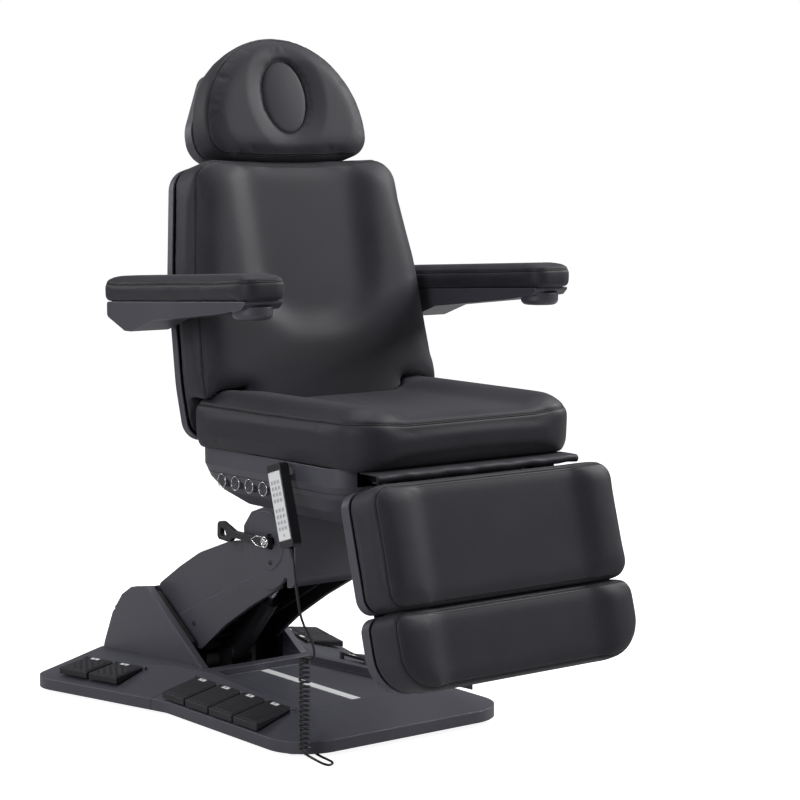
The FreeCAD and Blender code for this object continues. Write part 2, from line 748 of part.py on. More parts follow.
def seat_shell():
    levels = [(rail_top, 278.0, -478.0, 44.0), (572.0, 278.0, -478.0, 43.0), (545.0, 268.0, -466.0, 36.0),
              (515.0, 245.0, -440.0, 22.0), (486.0, 205.0, -400.0, -5.0)]

    def hull(wall):
        wires = []
        for z, half, front, rear in levels:
            radius = 60.0 - wall
            corners = both_sides([(half - wall, front + wall, radius), (half - wall, rear - wall, radius)])
            wires.append(rounded(corners, z + wall))
        return Part.makeLoft(wires, True, True)
    shell = hull(0.0).cut(hull(shell_wall))
    ear_room = ear_half + 16.0
    ear_y0, ear_y1 = swivel_y - 85.0, swivel_y + 55.0
    shell = shell.cut(box(-ear_room, ear_room, ear_y0, ear_y1, head_top_z + 4.0, tilt_z - 25.0))
    for sign in (-1, 1):
        lug_room = hinge_lug_thick + 4.0
        x0, x1 = sorted((sign * (back_lug_x - lug_room), sign * (back_lug_x + lug_room)))
        top = seat_bottom_z + 12.0
        shell = shell.cut(box(x0, x1, back_y - 25.0, back_y + 15.0, back_z - 18.0, top))
        shell = shell.cut(box(x0 - 8.0, x1 + 8.0, leg_y + 30.0, leg_y + 70.0, leg_z - 18.0, top))
    for y in button_places():
        shell = shell.cut(rod_x(y, button_z, button_radius + soft_gap, -300.0, -230.0))
    return shell


def button_places():
    return [button_first_y - i * button_pitch for i in range(4)]


def hinge_lugs(x, thick, y, z, tail_y, top, pin):
    """Pair of lugs on X = +-x, from a cross bar to a hinge line, each with its pin out to one side."""
    solids = []
    for sign in (-1, 1):
        x0, x1 = sorted((sign * (x - thick), sign * x))
        solids.append(rod_x(y, z, hinge_lug, x0, x1))
        solids.append(box(x0, x1, min(y, tail_y), max(y, tail_y), z - 10.0, top))
        p0, p1 = sorted((sign * (x - thick), sign * (x + thick + side_gap)))
        solids.append(rod_x(y, z, pin, p0, p1))
    return solids


def seat_frame():
    solids = []
    for sign in (-1, 1):
        x0, x1 = sorted((sign * lug_inner, sign * (lug_inner + rail_width)))
        solids.append(box(x0, x1, -455.0, 18.0, rail_low, rail_top))
        x0, x1 = sorted((sign * lug_inner, sign * (lug_inner + 10.0)))
        lug = [(swivel_y - 24.0, rail_low + 2, 2.0), (swivel_y - 14.0, tilt_z - 16.0, 12.0),
               (swivel_y + 14.0, tilt_z - 16.0, 12.0), (swivel_y + 24.0, rail_low + 2, 2.0)]
        solids.append(slab_x(lug, x0, x1))
        p0, p1 = sorted((sign * (ear_half - ear_thick - 4.0), sign * (lug_inner + 10.0)))
        solids.append(rod_x(swivel_y, tilt_z, tilt_pin, p0, p1))
    solids.append(box(-250.0, 250.0, -455.0, -425.0, rail_low, rail_top))
    solids.append(box(-225.0, 225.0, -8.0, 18.0, rail_low, rail_top))
    solids += hinge_lugs(back_lug_x - side_gap, hinge_lug_thick, back_y, back_z, 10.0, rail_top, hinge_pin)
    solids += hinge_lugs(leg_lug_x - side_gap, hinge_lug_thick, leg_y, leg_z, -430.0, leg_z + 10.0, leg_pin)
    return fused(solids)


def seat_motors():
    """Tilt, back and leg motors, hung under the seat frame's rails."""
    motors = []
    for x, y0, y1 in ((-60.0, -400.0, -150.0), (0.0, -400.0, -130.0), (60.0, -400.0, -150.0)):
        tube_z = rail_low - motor_radius - soft_gap
        tube = rod_between(V(x, y0, tube_z), V(x, y1, tube_z), motor_radius)
        foot = box(x - 12.0, x + 12.0, -425.0 + soft_gap, y0, rail_low - motor_radius, rail_low + 12.0)
        motors.append(fused([tube, foot]))
    return motors


def side_buttons():
    wall_y = math.tan(math.atan((278.0 - 268.0) / (572.0 - 545.0)))
    face = -(268.0 + (button_z - 545.0) * wall_y)
    return [rod_x(y, button_z, button_radius, face - 3.0, face + 14.0) for y in button_places()]


def flap_edges(radius):
    """One face of the flap: its tail under the seat, the roll at the front and the free lip."""
    middle = seat_bottom_z - soft_gap - flap_roll
    up, down = middle + radius, middle - radius
    return [Part.LineSegment(V(0, flap_y + flap_tail, up), V(0, flap_y, up)).toShape(),
            Part.Arc(V(0, flap_y, up), V(0, flap_y - radius, middle), V(0, flap_y, down)).toShape(),
            Part.LineSegment(V(0, flap_y, down), V(0, flap_y + flap_lip, down)).toShape()]


def seat_flap():
    """Folded sheet that covers the leg hinge."""
    top = seat_bottom_z - soft_gap
    low = top - 2 * flap_roll
    tail_y, lip_y = flap_y + flap_tail, flap_y + flap_lip
    ends = [Part.LineSegment(V(0, lip_y, low), V(0, lip_y, low + flap_thick)).toShape(),
            Part.LineSegment(V(0, tail_y, top - flap_thick), V(0, tail_y, top)).toShape()]
    wire = Part.Wire(Part.__sortEdges__(flap_edges(flap_roll) + flap_edges(flap_roll - flap_thick) + ends))
    sheet = Part.Face(wire).extrude(V(2 * flap_half, 0, 0))
    sheet.translate(V(-flap_half, 0, 0))
    return sheet


save("seat_cushion", seat_cushion())
save("seat_shell", seat_shell())
save("seat_frame", seat_frame())
save("seat_motors", *seat_motors())
save("seat_flap", seat_flap())
for number, button in enumerate(side_buttons(), start=1):
    save("side_button_%d" % number, button)

# Back

back_half = [(304.0, 20.0, 45.0), (309.0, 140.0, 400.0), (297.0, 370.0, 400.0), (259.0, 606.0, 58.0),
             (40.0, 597.0, 300.0)]
back_corners = both_sides(back_half)


def horn_room():
    """Room under the back's lower corners for the seat's rear corners, which it follows at a gap."""
    gap = 4.0
    inner = tongue_half - gap / 2
    edge = seat_half + gap
    section = [V(inner, seat_front_y, seat_bottom_z - gap), V(edge, seat_front_y, seat_bottom_z - gap)]
    section += [V(edge - inward, seat_front_y, level + gap) for level, inward in seat_levels[2:]]
    section.append(V(inner, seat_front_y, seat_top + gap))
    section.append(section[0])
    room = Part.Face(Part.makePolygon(section)).extrude(V(0, seat_rear_y + gap - seat_front_y, 0))
    return [room, mirrored(room)]


def back_cushion():
    low = shell_depth + soft_gap
    levels = [(low, 5.0), (low + 14.0, 1.0), (back_seam - 6.0, 0.0), (back_seam, 4.0),
              (back_seam + back_crown - 5.0, 22.0), (back_seam + back_crown, 48.0)]
    cushion = crowned(back_corners, levels)
    hollow_corners = both_sides([(128.0, 264.0, 100.0), (142.0, 700.0, 60.0)])
    floor = back_seam + back_crown - back_recess
    hollow = Part.makeLoft([rounded(hollow_corners, floor),
                            rounded(inset(hollow_corners, -50.0), floor + back_recess + 2.0)], True, True)
    cushion = cushion.cut(hollow)
    cushion = stood_up(cushion, back_lean, back_y, back_z)
    for room in horn_room():
        cushion = cushion.cut(room)
    return cushion


def back_shell():
    outer = crowned(back_corners, [(shell_depth, 3.0), (6.0, 3.0), (-10.0, 22.0), (-18.0, 60.0)])
    inner = crowned(back_corners, [(shell_depth + 1, 3.0 + shell_wall), (6.0, 3.0 + shell_wall),
                                   (-6.0, 26.0), (-14.0, 60.0)])
    shell = outer.cut(inner)
    for sign in (-1, 1):
        x0, x1 = sorted((sign * (back_lug_x - 4.0), sign * (back_lug_x + hinge_lug_thick + 4.0)))
        shell = shell.cut(box(x0, x1, 10.0, 60.0, -30.0, shell_depth + 1))
        bore = rod_x(arm_pivot_along, shell_depth / 2, arm_shaft + 1.0, min(sign * 260, sign * 320),
                     max(sign * 260, sign * 320))
        shell = shell.cut(bore)
        shell = shell.cut(post_hole(sign))
    return stood_up(shell, back_lean, back_y, back_z)


def post_hole(sign):
    """Slot in the top of the back for a headrest post."""
    return box(sign * post_half - post_radius - 2.0, sign * post_half + post_radius + 2.0, 540.0, 640.0,
               shell_depth / 2 - post_radius - 2.0, shell_depth + 1)


def back_frame():
    low, high = 4.0, 20.0
    solids = []
    for sign in (-1, 1):
        x0, x1 = sorted((sign * back_lug_x, sign * (back_lug_x + hinge_lug_thick)))
        solids.append(box(x0, x1, 0.0, 560.0, low, high))
        solids.append(rod_x(0.0, 0.0, hinge_lug, x0, x1))
        solids.append(box(x0, x1, -4.0, 14.0, -4.0, high))
        s0, s1 = sorted((sign * back_lug_x, sign * (arm_pad_inner + 40.0)))
        solids.append(rod_x(arm_pivot_along, shell_depth / 2, arm_shaft, s0, s1))
        foot = V(sign * post_half, 420.0, shell_depth / 2)
        tube = Part.makeCylinder(post_radius + 4.0, 130.0, foot, V(0, 1, 0))
        solids.append(tube)
    reach = back_lug_x + 2.0
    for along in (80.0, 280.0, 440.0, 540.0):
        solids.append(box(-reach, reach, along, along + 24.0, low, low + 12.0))
    frame = fused(solids)
    for sign in (-1, 1):
        x0, x1 = sorted((sign * (back_lug_x - 1), sign * (back_lug_x + hinge_lug_thick + 1)))
        frame = frame.cut(rod_x(0.0, 0.0, hinge_pin + run_gap, x0, x1))
        foot = V(sign * post_half, 400.0, shell_depth / 2)
        bore = Part.makeCylinder(post_radius + run_gap, 300.0, foot, V(0, 1, 0))
        frame = frame.cut(bore)
    return stood_up(frame, back_lean, back_y, back_z)


save("back_cushion", back_cushion())
save("back_shell", back_shell())
save("back_frame", back_frame())

# Headrest

rest_corners = both_sides([(70.0, rest_low - rest_sag, 250.0), (rest_half, rest_low, 50.0),
                           (rest_half, rest_high, rest_half - 1.0)])


def oval(half_width, half_height, z0, z1):
    middle = V(0, plug_centre, 0)
    ellipse = Part.Ellipse(V(0, plug_centre + half_height, 0), V(half_width, plug_centre, 0), middle)
    face = Part.Face(Part.Wire([ellipse.toShape()]))
    face.translate(V(0, 0, z0))
    return face.extrude(V(0, 0, z1 - z0))


def rest_cushion():
    low = rest_shell + soft_gap
    levels = [(low, 3.0), (low + 6.0, 0.0), (rest_seam - 5.0, 0.0), (rest_seam, 4.0),
              (rest_seam + rest_crown - 3.0, 20.0), (rest_seam + rest_crown, 44.0)]
    cushion = crowned(rest_corners, levels)
    start, end = rest_shell_top - 6.0, rest_high + 10.0
    wedge = [(start, low - 1), (start, low - rest_taper), (end, low - rest_taper), (end, low + rest_taper)]
    cushion = cushion.cut(slab_x(plain(wedge), -rest_half - 1, rest_half + 1))
    hole = oval(plug_half_width, plug_half_height, rest_seam + rest_crown - plug_depth, rest_seam + 40.0)
    return stood_up(cushion.cut(hole), head_lean, rest_y, rest_z)


def rest_plug():
    top = rest_seam + rest_crown
    plug = oval(plug_half_width - soft_gap, plug_half_height - soft_gap, top - plug_depth + soft_gap, top)
    rim = [edge for edge in plug.Edges if abs(edge.CenterOfMass.z - top) < 0.01]
    plug = plug.makeFillet(6.0, rim)
    return stood_up(plug, head_lean, rest_y, rest_z)


def rest_shell_solid():
    half = [(70.0, rest_low - rest_sag, 250.0), (rest_half, rest_low, 50.0), (rest_half, 60.0, 80.0),
            (rest_half - 60.0, rest_shell_top, 40.0)]
    outer = crowned(both_sides(half), [(rest_shell, 1.0), (4.0, 1.0), (-2.0, 6.0), (-8.0, 30.0)])
    ears = []
    for sign in (-1, 1):
        x = sign * (post_half - 24.0)
        ears.append(rod_x(0.0, 0.0, bar_radius + 6.0, x - 8.0, x + 8.0))
    shell = fused([outer] + ears)
    for sign in (-1, 1):
        x0, x1 = sorted((sign * (post_half - 14.0), sign * (bar_half + knob_length + 4.0)))
        shell = shell.cut(box(x0, x1, rest_low - 20.0, 20.0, -30.0, knob_radius + 5.0))
    shell = shell.cut(box(-post_half + 34.0, post_half - 34.0, rest_low - 20.0, 26.0, -30.0, 12.0))
    shell = shell.cut(rod_x(0.0, 0.0, bar_radius + run_gap, -bar_half, bar_half))
    return stood_up(shell, head_lean, rest_y, rest_z)


def post_bracket():
    solids = [rod_x(rest_y, rest_z, bar_radius, -bar_half, bar_half)]
    way = V(0, math.sin(math.radians(back_lean)), math.cos(math.radians(back_lean)))
    for sign in (-1, 1):
        top = V(sign * post_half, rest_y, rest_z)
        foot = back_point(sign * post_half, 590.0, shell_depth / 2)
        end = foot - way * post_length
        solids.append(rod_between(end, foot, post_radius))
        solids.append(rod_between(foot, top, post_radius))
        solids.append(Part.makeSphere(post_radius, foot))
        x0, x1 = sorted((sign * (post_half - 9.0), sign * (post_half + 9.0)))
        solids.append(rod_x(rest_y, rest_z, bar_radius + 4.0, x0, x1))
    return fused(solids)


def clamp_knob(sign):
    x0, x1 = sorted((sign * bar_half, sign * (bar_half + knob_length)))
    knob = rod_x(rest_y, rest_z, knob_radius, x0, x1)
    rim = [edge for edge in knob.Edges if edge.BoundBox.XLength < 0.01]
    return knob.makeFillet(4.0, rim)


save("headrest_cushion", rest_cushion())
save("headrest_plug", rest_plug())
save("headrest_shell", rest_shell_solid())
save("headrest_bracket", post_bracket())
save("headrest_knob", clamp_knob(-1))

# Armrests

arm_shaft_spot = back_point(0, arm_pivot_along, shell_depth / 2)


def arm_pad():
    x0, x1 = arm_pad_inner, arm_pad_inner + arm_pad_width
    corners = [(x0, -arm_pad_length, 30.0), (x1, -arm_pad_length, 30.0), (x1, 0.0, 26.0), (x0, 0.0, 26.0)]
    levels = [(0.0, 4.0), (10.0, 0.5), (arm_pad_thick * 0.74, 0.0), (arm_pad_thick * 0.78, 2.0),
              (arm_pad_thick - 4.0, 8.0), (arm_pad_thick, 20.0)]
    return placed_arm(crowned(corners, levels))


def placed_arm(shape):
    shape.rotate(V(0, 0, 0), X_AXIS, -arm_pad_rise)
    shape.translate(V(0, arm_pad_rear_y, arm_pad_rear_z))
    return shape


def tray_top(y):
    return arm_pad_rear_z + (arm_pad_rear_y - y) * math.tan(math.radians(arm_pad_rise)) - soft_gap


def arm_tray():
    low = [(arm_pad_rear_y + y, arm_pad_rear_z + z, r) for y, z, r in tray_under]
    front, rear = low[-1][0], low[0][0]
    profile = [(front, tray_top(front), 1.0), (rear, tray_top(rear), 6.0)] + low
    x0, x1 = arm_pad_inner + 9.0, arm_pad_inner + arm_pad_width - 9.0
    tray = slab_x(list(reversed(profile)), x0, x1)
    centre = (x0 + x1) / 2
    boss_low = arm_pad_rear_z - boss_drop
    boss = Part.makeCylinder(boss_radius, boss_drop + 13.0, V(centre, boss_y, boss_low))
    rim = [edge for edge in boss.Edges if abs(edge.CenterOfMass.z - boss_low) < 0.01]
    boss = boss.makeFillet(12.0, rim)
    hub = rod_x(arm_shaft_spot.y, arm_shaft_spot.z, arm_shaft + 9.0, arm_pad_inner - 3.0, x0 + 20.0)
    front, rear = arm_pad_rear_y - arm_pad_length - 100.0, arm_pad_rear_y + 100.0
    high = arm_pad_rear_z + 200.0
    over = slab_x(plain([(front, tray_top(front)), (rear, tray_top(rear)), (rear, high), (front, high)]),
                  arm_pad_inner - 20.0, arm_pad_inner + arm_pad_width + 20.0)
    tray = fused([tray, boss, hub]).cut(over)
    return tray.cut(rod_x(arm_shaft_spot.y, arm_shaft_spot.z, arm_shaft + run_gap, arm_pad_inner - 10.0,
                          arm_pad_inner + 41.0))


for side, flip in (("left", False), ("right", True)):
    for name, solid in (("pad", arm_pad()), ("tray", arm_tray())):
        save("armrest_%s_%s" % (name, side), mirrored(solid) if flip else solid)

# Leg rest and foot pad

leg_end = leg_start - leg_length
foot_start = leg_end - foot_gap
foot_end = foot_start - foot_length
cushion_low = leg_rear + leg_shell_depth + soft_gap


def pad_levels():
    return [(cushion_low, 3.0), (cushion_low + 6.0, 0.5), (leg_seam - 6.0, 0.0), (leg_seam, 3.0),
            (leg_seam + leg_crown - 4.0, 14.0), (leg_seam + leg_crown, 34.0)]


def pad_channel():
    """Flat channel between a pad's side bolsters, along its whole length."""
    floor, top = leg_seam - 4.0, leg_seam + leg_crown + 2.0
    section = [V(-195.0, 0, floor), V(195.0, 0, floor), V(240.0, 0, top), V(-240.0, 0, top)]
    section.append(section[0])
    channel = Part.Face(Part.makePolygon(section)).extrude(V(0, 800.0, 0))
    channel.translate(V(0, -600.0, 0))
    return channel


leg_corners = [(leg_half, leg_end, 36.0), (leg_half, leg_start, 36.0), (-leg_half, leg_start, 36.0),
               (-leg_half, leg_end, 36.0)]
foot_corners = [(leg_half, foot_end, 80.0), (leg_half, foot_start, 30.0), (-leg_half, foot_start, 30.0),
                (-leg_half, foot_end, 80.0)]


def leg_placed(shape):
    return stood_up(shape, leg_lean, leg_y, leg_z)


def pad_cushion(corners):
    return leg_placed(crowned(corners, pad_levels()).cut(pad_channel()))


def pad_shell(corners):
    rim = leg_rear + leg_shell_depth
    outer = crowned(corners, [(rim, 1.0), (leg_rear + 5.0, 2.0), (leg_rear, 10.0)])
    inner = crowned(corners, [(rim + 1, 1.0 + shell_wall), (leg_rear + shell_wall, 2.0 + shell_wall)])
    return outer.cut(inner)


rail_out = leg_rear + shell_wall + rail_radius + guide_wall + side_gap


def rail_rod(sign, radius, start, length):
    return Part.makeCylinder(radius, length, V(sign * rail_half, start, rail_out), V(0, 1, 0))


def leg_shell():
    shell = pad_shell(leg_corners)
    for sign in (-1, 1):
        x0, x1 = sorted((sign * (leg_lug_x - 3.0), sign * (leg_lug_x + hinge_lug_thick + 3.0)))
        shell = shell.cut(box(x0, x1, leg_start - 14.0, leg_start + 10.0, leg_rear - 1, leg_seam))
        shell = shell.cut(rail_rod(sign, rail_radius + 1.0, leg_end - 20.0, 60.0))
    return leg_placed(shell)


def leg_frame():
    low, high = leg_rear + shell_wall + 1.0, leg_rear + leg_shell_depth - 0.5
    solids = []
    for sign in (-1, 1):
        x0, x1 = sorted((sign * leg_lug_x, sign * (leg_lug_x + hinge_lug_thick)))
        solids.append(box(x0, x1, leg_end + 30.0, leg_start - 4.0, low, high))
        solids.append(rod_x(0.0, 0.0, hinge_lug - 1.0, x0, x1))
        solids.append(box(x0, x1, leg_start - 8.0, -6.0, -9.0, 9.0))
        solids.append(box(x0, x1, leg_start - 14.0, leg_start - 4.0, low, 9.0))
        solids.append(rail_rod(sign, rail_radius + guide_wall, leg_end + 30.0, guide_length))
    for along in (leg_end + 40.0, leg_end + 30.0 + guide_length - 30.0):
        solids.append(box(-leg_lug_x - 2.0, leg_lug_x + 2.0, along, along + 20.0, low, high))
    frame = fused(solids)
    for sign in (-1, 1):
        frame = frame.cut(rail_rod(sign, rail_radius + run_gap, leg_end, leg_length))
        x0, x1 = sorted((sign * (leg_lug_x - 1), sign * (leg_lug_x + hinge_lug_thick + 1)))
        frame = frame.cut(rod_x(0.0, 0.0, leg_pin + run_gap, x0, x1))
    return leg_placed(frame)


def leg_cushion():
    cushion = crowned(leg_corners, pad_levels()).cut(pad_channel())
    for sign in (-1, 1):
        x0, x1 = sorted((sign * (leg_lug_x - 3.0), sign * (leg_lug_x + hinge_lug_thick + 3.0)))
        cushion = cushion.cut(box(x0, x1, leg_start - 16.0, leg_start + 10.0, leg_rear - 1, 12.0))
    return leg_placed(cushion)


def foot_rails():
    rails = []
    for sign in (-1, 1):
        rails.append(leg_placed(rail_rod(sign, rail_radius, foot_start - 60.0, rail_length)))
    return rails


def foot_lip():
    """Strip on the foot pad's rear that closes the gap to the leg rest."""
    rear = leg_rear - side_gap
    root = box(-lip_half, lip_half, foot_start - 40.0, foot_start - 12.0, rear - lip_thick, leg_rear + 3.0)
    strip = box(-lip_half, lip_half, foot_start - 13.0, foot_start + lip_reach, rear - lip_thick, rear)
    return root.fuse(strip)


def foot_shell():
    shell = pad_shell(foot_corners).fuse(foot_lip())
    for sign in (-1, 1):
        clip = box(sign * rail_half - 14.0, sign * rail_half + 14.0, foot_start - 56.0, foot_start - 20.0,
                   leg_rear + 2.0, leg_rear + leg_shell_depth)
        shell = shell.fuse(clip).cut(rail_rod(sign, rail_radius, foot_start - 60.0, 90.0))
    return leg_placed(shell.removeSplitter())


save("leg_cushion", leg_cushion())
save("leg_shell", leg_shell())
save("leg_frame", leg_frame())
save("foot_cushion", pad_cushion(foot_corners))
save("foot_shell", foot_shell())
save("foot_rails", *foot_rails())

# Handset, its hook and its cord


def handset_placed(shape):
    shape.rotate(V(0, 0, 0), X_AXIS, handset_lean)
    shape.translate(V(0, handset_top_y, handset_top_z))
    return shape


def handset():
    half = handset_width / 2
    x1 = handset_x + handset_thick
    body = box(handset_x, x1, -half, half, -handset_height, 0.0)
    upright = [edge for edge in body.Edges if edge.BoundBox.XLength > handset_thick - 1]
    body = body.makeFillet(8.0, upright)
    return handset_placed(body)


def handset_hook():
    wall = -278.0
    plate = box(handset_x + handset_thick, wall, -14.0, 14.0, -26.0, -12.0)
    return handset_placed(plate).cut(box(wall, 0.0, -400.0, 0.0, 500.0, 700.0))


save("handset", handset())
save("handset_hook", handset_hook())


def tube(points, radius):
    """Tube along straight runs joined by arcs as large as the runs allow."""
    edges = []
    last = points[0]
    for i in range(1, len(points) - 1):
        before = points[i - 1] - points[i]
        after = points[i + 1] - points[i]
        reach = 0.45 * min(before.Length, after.Length)
        before.normalize()
        after.normalize()
        half_angle = before.getAngle(after) / 2
        bend = reach * math.tan(half_angle)
        print("cord bend radius", round(bend, 1))
        start = points[i] + before * reach
        end = points[i] + after * reach
        middle = points[i] + (before + after).normalize() * (bend / math.sin(half_angle) - bend)
        edges.append(Part.LineSegment(last, start).toShape())
        edges.append(Part.Arc(start, middle, end).toShape())
        last = end
    edges.append(Part.LineSegment(last, points[-1]).toShape())
    path = Part.Wire(edges)
    way = points[1] - points[0]
    ring = Part.Wire([Part.Circle(points[0], way, radius).toShape()])
    solid = path.makePipeShell([ring], True, False)
    print("tube volume", round(solid.Volume), "section by length", round(math.pi * radius ** 2 * path.Length))
    return solid


def curl_point(turn):
    angle = 2 * math.pi * turn
    return V(curl_x + curl_radius * math.cos(angle), curl_y + curl_radius * math.sin(angle),
             curl_top_z - curl_pitch * turn)


def curls():
    """The curly stretch: a helix of short arcs, hanging down."""
    edges = []
    for i in range(int(curl_turns * curl_arcs)):
        edges.append(Part.Arc(curl_point(i / curl_arcs), curl_point((i + 0.5) / curl_arcs),
                              curl_point((i + 1) / curl_arcs)).toShape())
    path = Part.Wire(edges)
    way = edges[0].tangentAt(edges[0].FirstParameter)
    ring = Part.Wire([Part.Circle(curl_point(0), way, cord_radius).toShape()])
    turn_ahead = [curl_point(i / 60) for i in range(45, 76)]
    print("curl gap", round(min((curl_point(0) - point).Length for point in turn_ahead) - 2 * cord_radius, 2))
    return path.makePipeShell([ring], True, False)


cord_out = handset_placed(Part.Vertex(handset_x + handset_thick / 2, 0.0, -handset_height)).Point
handset_way = V(0, math.sin(math.radians(handset_lean)), -math.cos(math.radians(handset_lean)))
curl_way = V(0, 2 * math.pi * curl_radius, -curl_pitch).normalize()
curl_start = curl_point(0)
curl_end = curl_point(curl_turns)
drop_way = [cord_out, cord_out + handset_way * 28.0, V(-304.0, -364.0, 356.0), V(-298.0, -370.0, 300.0),
            V(-272.0, -374.0, 254.0), curl_start - curl_way * 24.0, curl_start - curl_way * 0.1]
save("cord_drop", tube(drop_way, cord_radius))
save("cord_curl", curls())
tail_z = 5.5
end_way = V(0, -curl_way.y, curl_way.z)
tail_way = [curl_end + end_way * 0.1, curl_end + end_way * 34.0, V(-254.0, -396.0, tail_z),
            V(-226.0, -384.0, tail_z), V(-222.0, -330.0, tail_z), V(-208.0, cord_clamp_y, tail_z),
            V(cord_clamp_x, cord_clamp_y, tail_z)]
save("cord_tail", tube(tail_way, cord_radius))
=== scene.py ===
import json
import math

import bmesh
import bpy
from mathutils import Matrix, Vector
from mathutils.bvhtree import BVHTree
from mathutils.kdtree import KDTree


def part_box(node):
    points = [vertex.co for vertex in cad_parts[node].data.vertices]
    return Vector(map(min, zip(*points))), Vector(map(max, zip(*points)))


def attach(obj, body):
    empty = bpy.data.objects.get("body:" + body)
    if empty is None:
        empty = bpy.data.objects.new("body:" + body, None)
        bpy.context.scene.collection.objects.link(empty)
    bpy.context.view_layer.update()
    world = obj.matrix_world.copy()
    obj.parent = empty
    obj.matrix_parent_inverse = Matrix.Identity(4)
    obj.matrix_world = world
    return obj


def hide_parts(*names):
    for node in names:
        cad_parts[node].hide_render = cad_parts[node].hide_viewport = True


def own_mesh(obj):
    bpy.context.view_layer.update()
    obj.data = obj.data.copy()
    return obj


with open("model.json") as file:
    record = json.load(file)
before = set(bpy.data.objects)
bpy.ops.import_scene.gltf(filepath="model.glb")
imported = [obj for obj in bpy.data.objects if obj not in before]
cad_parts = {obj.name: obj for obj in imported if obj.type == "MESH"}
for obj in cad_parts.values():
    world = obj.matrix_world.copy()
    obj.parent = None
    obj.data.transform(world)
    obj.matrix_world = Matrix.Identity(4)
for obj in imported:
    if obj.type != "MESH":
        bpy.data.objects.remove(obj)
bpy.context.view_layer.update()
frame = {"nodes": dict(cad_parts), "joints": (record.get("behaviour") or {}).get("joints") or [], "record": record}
nodes = frame["nodes"]
scene = bpy.context.scene
scene.view_settings.view_transform = "Standard"
MM = 0.001

# Camera, at the photograph's place

camera_data = bpy.data.cameras.new("camera")
camera_data.lens = 101.97
camera_data.sensor_width = 36.0
camera = bpy.data.objects.new("camera", camera_data)
camera.location = (-2.8475, -3.9512, 1.2108)
camera.rotation_euler = (math.radians(83.857), 0.0, math.radians(-37.988))
scene.collection.objects.link(camera)
scene.camera = camera

# Shader groups


def new_group(name, inputs, outputs):
    tree = bpy.data.node_groups.new(name, "ShaderNodeTree")
    for label, value in inputs:
        socket = tree.interface.new_socket(label, in_out="INPUT", socket_type="NodeSocketFloat")
        socket.default_value = value
    for label, kind in outputs:
        tree.interface.new_socket(label, in_out="OUTPUT", socket_type=kind)
    return tree, tree.nodes.new("NodeGroupInput"), tree.nodes.new("NodeGroupOutput")


def maths(tree, operation, first, second):
    node = tree.nodes.new("ShaderNodeMath")
    node.operation = operation
    for socket, value in zip(node.inputs, (first, second)):
        if isinstance(value, (int, float)):
            socket.default_value = value
        else:
            tree.links.new(value, socket)
    return node.outputs[0]


def noise(tree, coordinates, scale, detail):
    node = tree.nodes.new("ShaderNodeTexNoise")
    node.inputs["Detail"].default_value = detail
    tree.links.new(coordinates, node.inputs["Vector"])
    if isinstance(scale, (int, float)):
        node.inputs["Scale"].default_value = scale
    else:
        tree.links.new(scale, node.inputs["Scale"])
    return node.outputs["Fac"]


NUMBER = "NodeSocketFloat"
DIRECTION = "NodeSocketVector"


def leather_grain_group():
    """Pebbled grain of coated fabric: cells with worn tops, and slow changes of tone with a finer mottle."""
    tree, group_in, group_out = new_group(
        "Leather_Grain", [("Cells", 700.0), ("Tone", 9.0)], [("Height", NUMBER), ("Tone", NUMBER)])
    place = tree.nodes.new("ShaderNodeTexCoord").outputs["Object"]
    cells = tree.nodes.new("ShaderNodeTexVoronoi")
    cells.feature = "SMOOTH_F1"
    tree.links.new(place, cells.inputs["Vector"])
    tree.links.new(group_in.outputs["Cells"], cells.inputs["Scale"])
    creases = noise(tree, place, 260.0, 4.0)
    height = maths(tree, "ADD", maths(tree, "MULTIPLY", cells.outputs["Distance"], -0.8),
                   maths(tree, "MULTIPLY", creases, 0.5))
    tree.links.new(height, group_out.inputs["Height"])
    slow = noise(tree, place, group_in.outputs["Tone"], 3.0)
    mottle = noise(tree, place, 330.0, 1.0)
    tone = maths(tree, "ADD", maths(tree, "MULTIPLY", slow, 0.55), maths(tree, "MULTIPLY", mottle, 0.45))
    tree.links.new(tone, group_out.inputs["Tone"])
    return tree


def moulded_grain_group():
    """Fine spark-eroded texture of a mould, with slow changes of tone from handling."""
    tree, group_in, group_out = new_group(
        "Moulded_Grain", [("Grain", 1500.0), ("Tone", 5.0)], [("Height", NUMBER), ("Tone", NUMBER)])
    place = tree.nodes.new("ShaderNodeTexCoord").outputs["Object"]
    tree.links.new(noise(tree, place, group_in.outputs["Grain"], 2.0), group_out.inputs["Height"])
    tree.links.new(noise(tree, place, group_in.outputs["Tone"], 4.0), group_out.inputs["Tone"])
    return tree


def edge_highlight_group():
    """Normal that rounds sharp edges over, and a mask of how near each point lies to one, along which materials
    paint a lighter highlight.
    """
    tree, group_in, group_out = new_group(
        "Edge_Highlight", [("Radius", 0.003)], [("Normal", DIRECTION), ("Edge", NUMBER)])
    rounding = tree.nodes.new("ShaderNodeBevel")
    rounding.samples = 4
    tree.links.new(group_in.outputs["Radius"], rounding.inputs["Radius"])
    flat = tree.nodes.new("ShaderNodeNewGeometry")
    likeness = tree.nodes.new("ShaderNodeVectorMath")
    likeness.operation = "DOT_PRODUCT"
    tree.links.new(rounding.outputs["Normal"], likeness.inputs[0])
    tree.links.new(flat.outputs["Normal"], likeness.inputs[1])
    turn = maths(tree, "SUBTRACT", 1.0, likeness.outputs["Value"])
    edge = maths(tree, "MINIMUM", maths(tree, "MULTIPLY", turn, 5.0), 1.0)
    tree.links.new(rounding.outputs["Normal"], group_out.inputs["Normal"])
    tree.links.new(edge, group_out.inputs["Edge"])
    return tree


leather_grain = leather_grain_group()
moulded_grain = moulded_grain_group()
edge_highlight_tree = edge_highlight_group()

# Materials


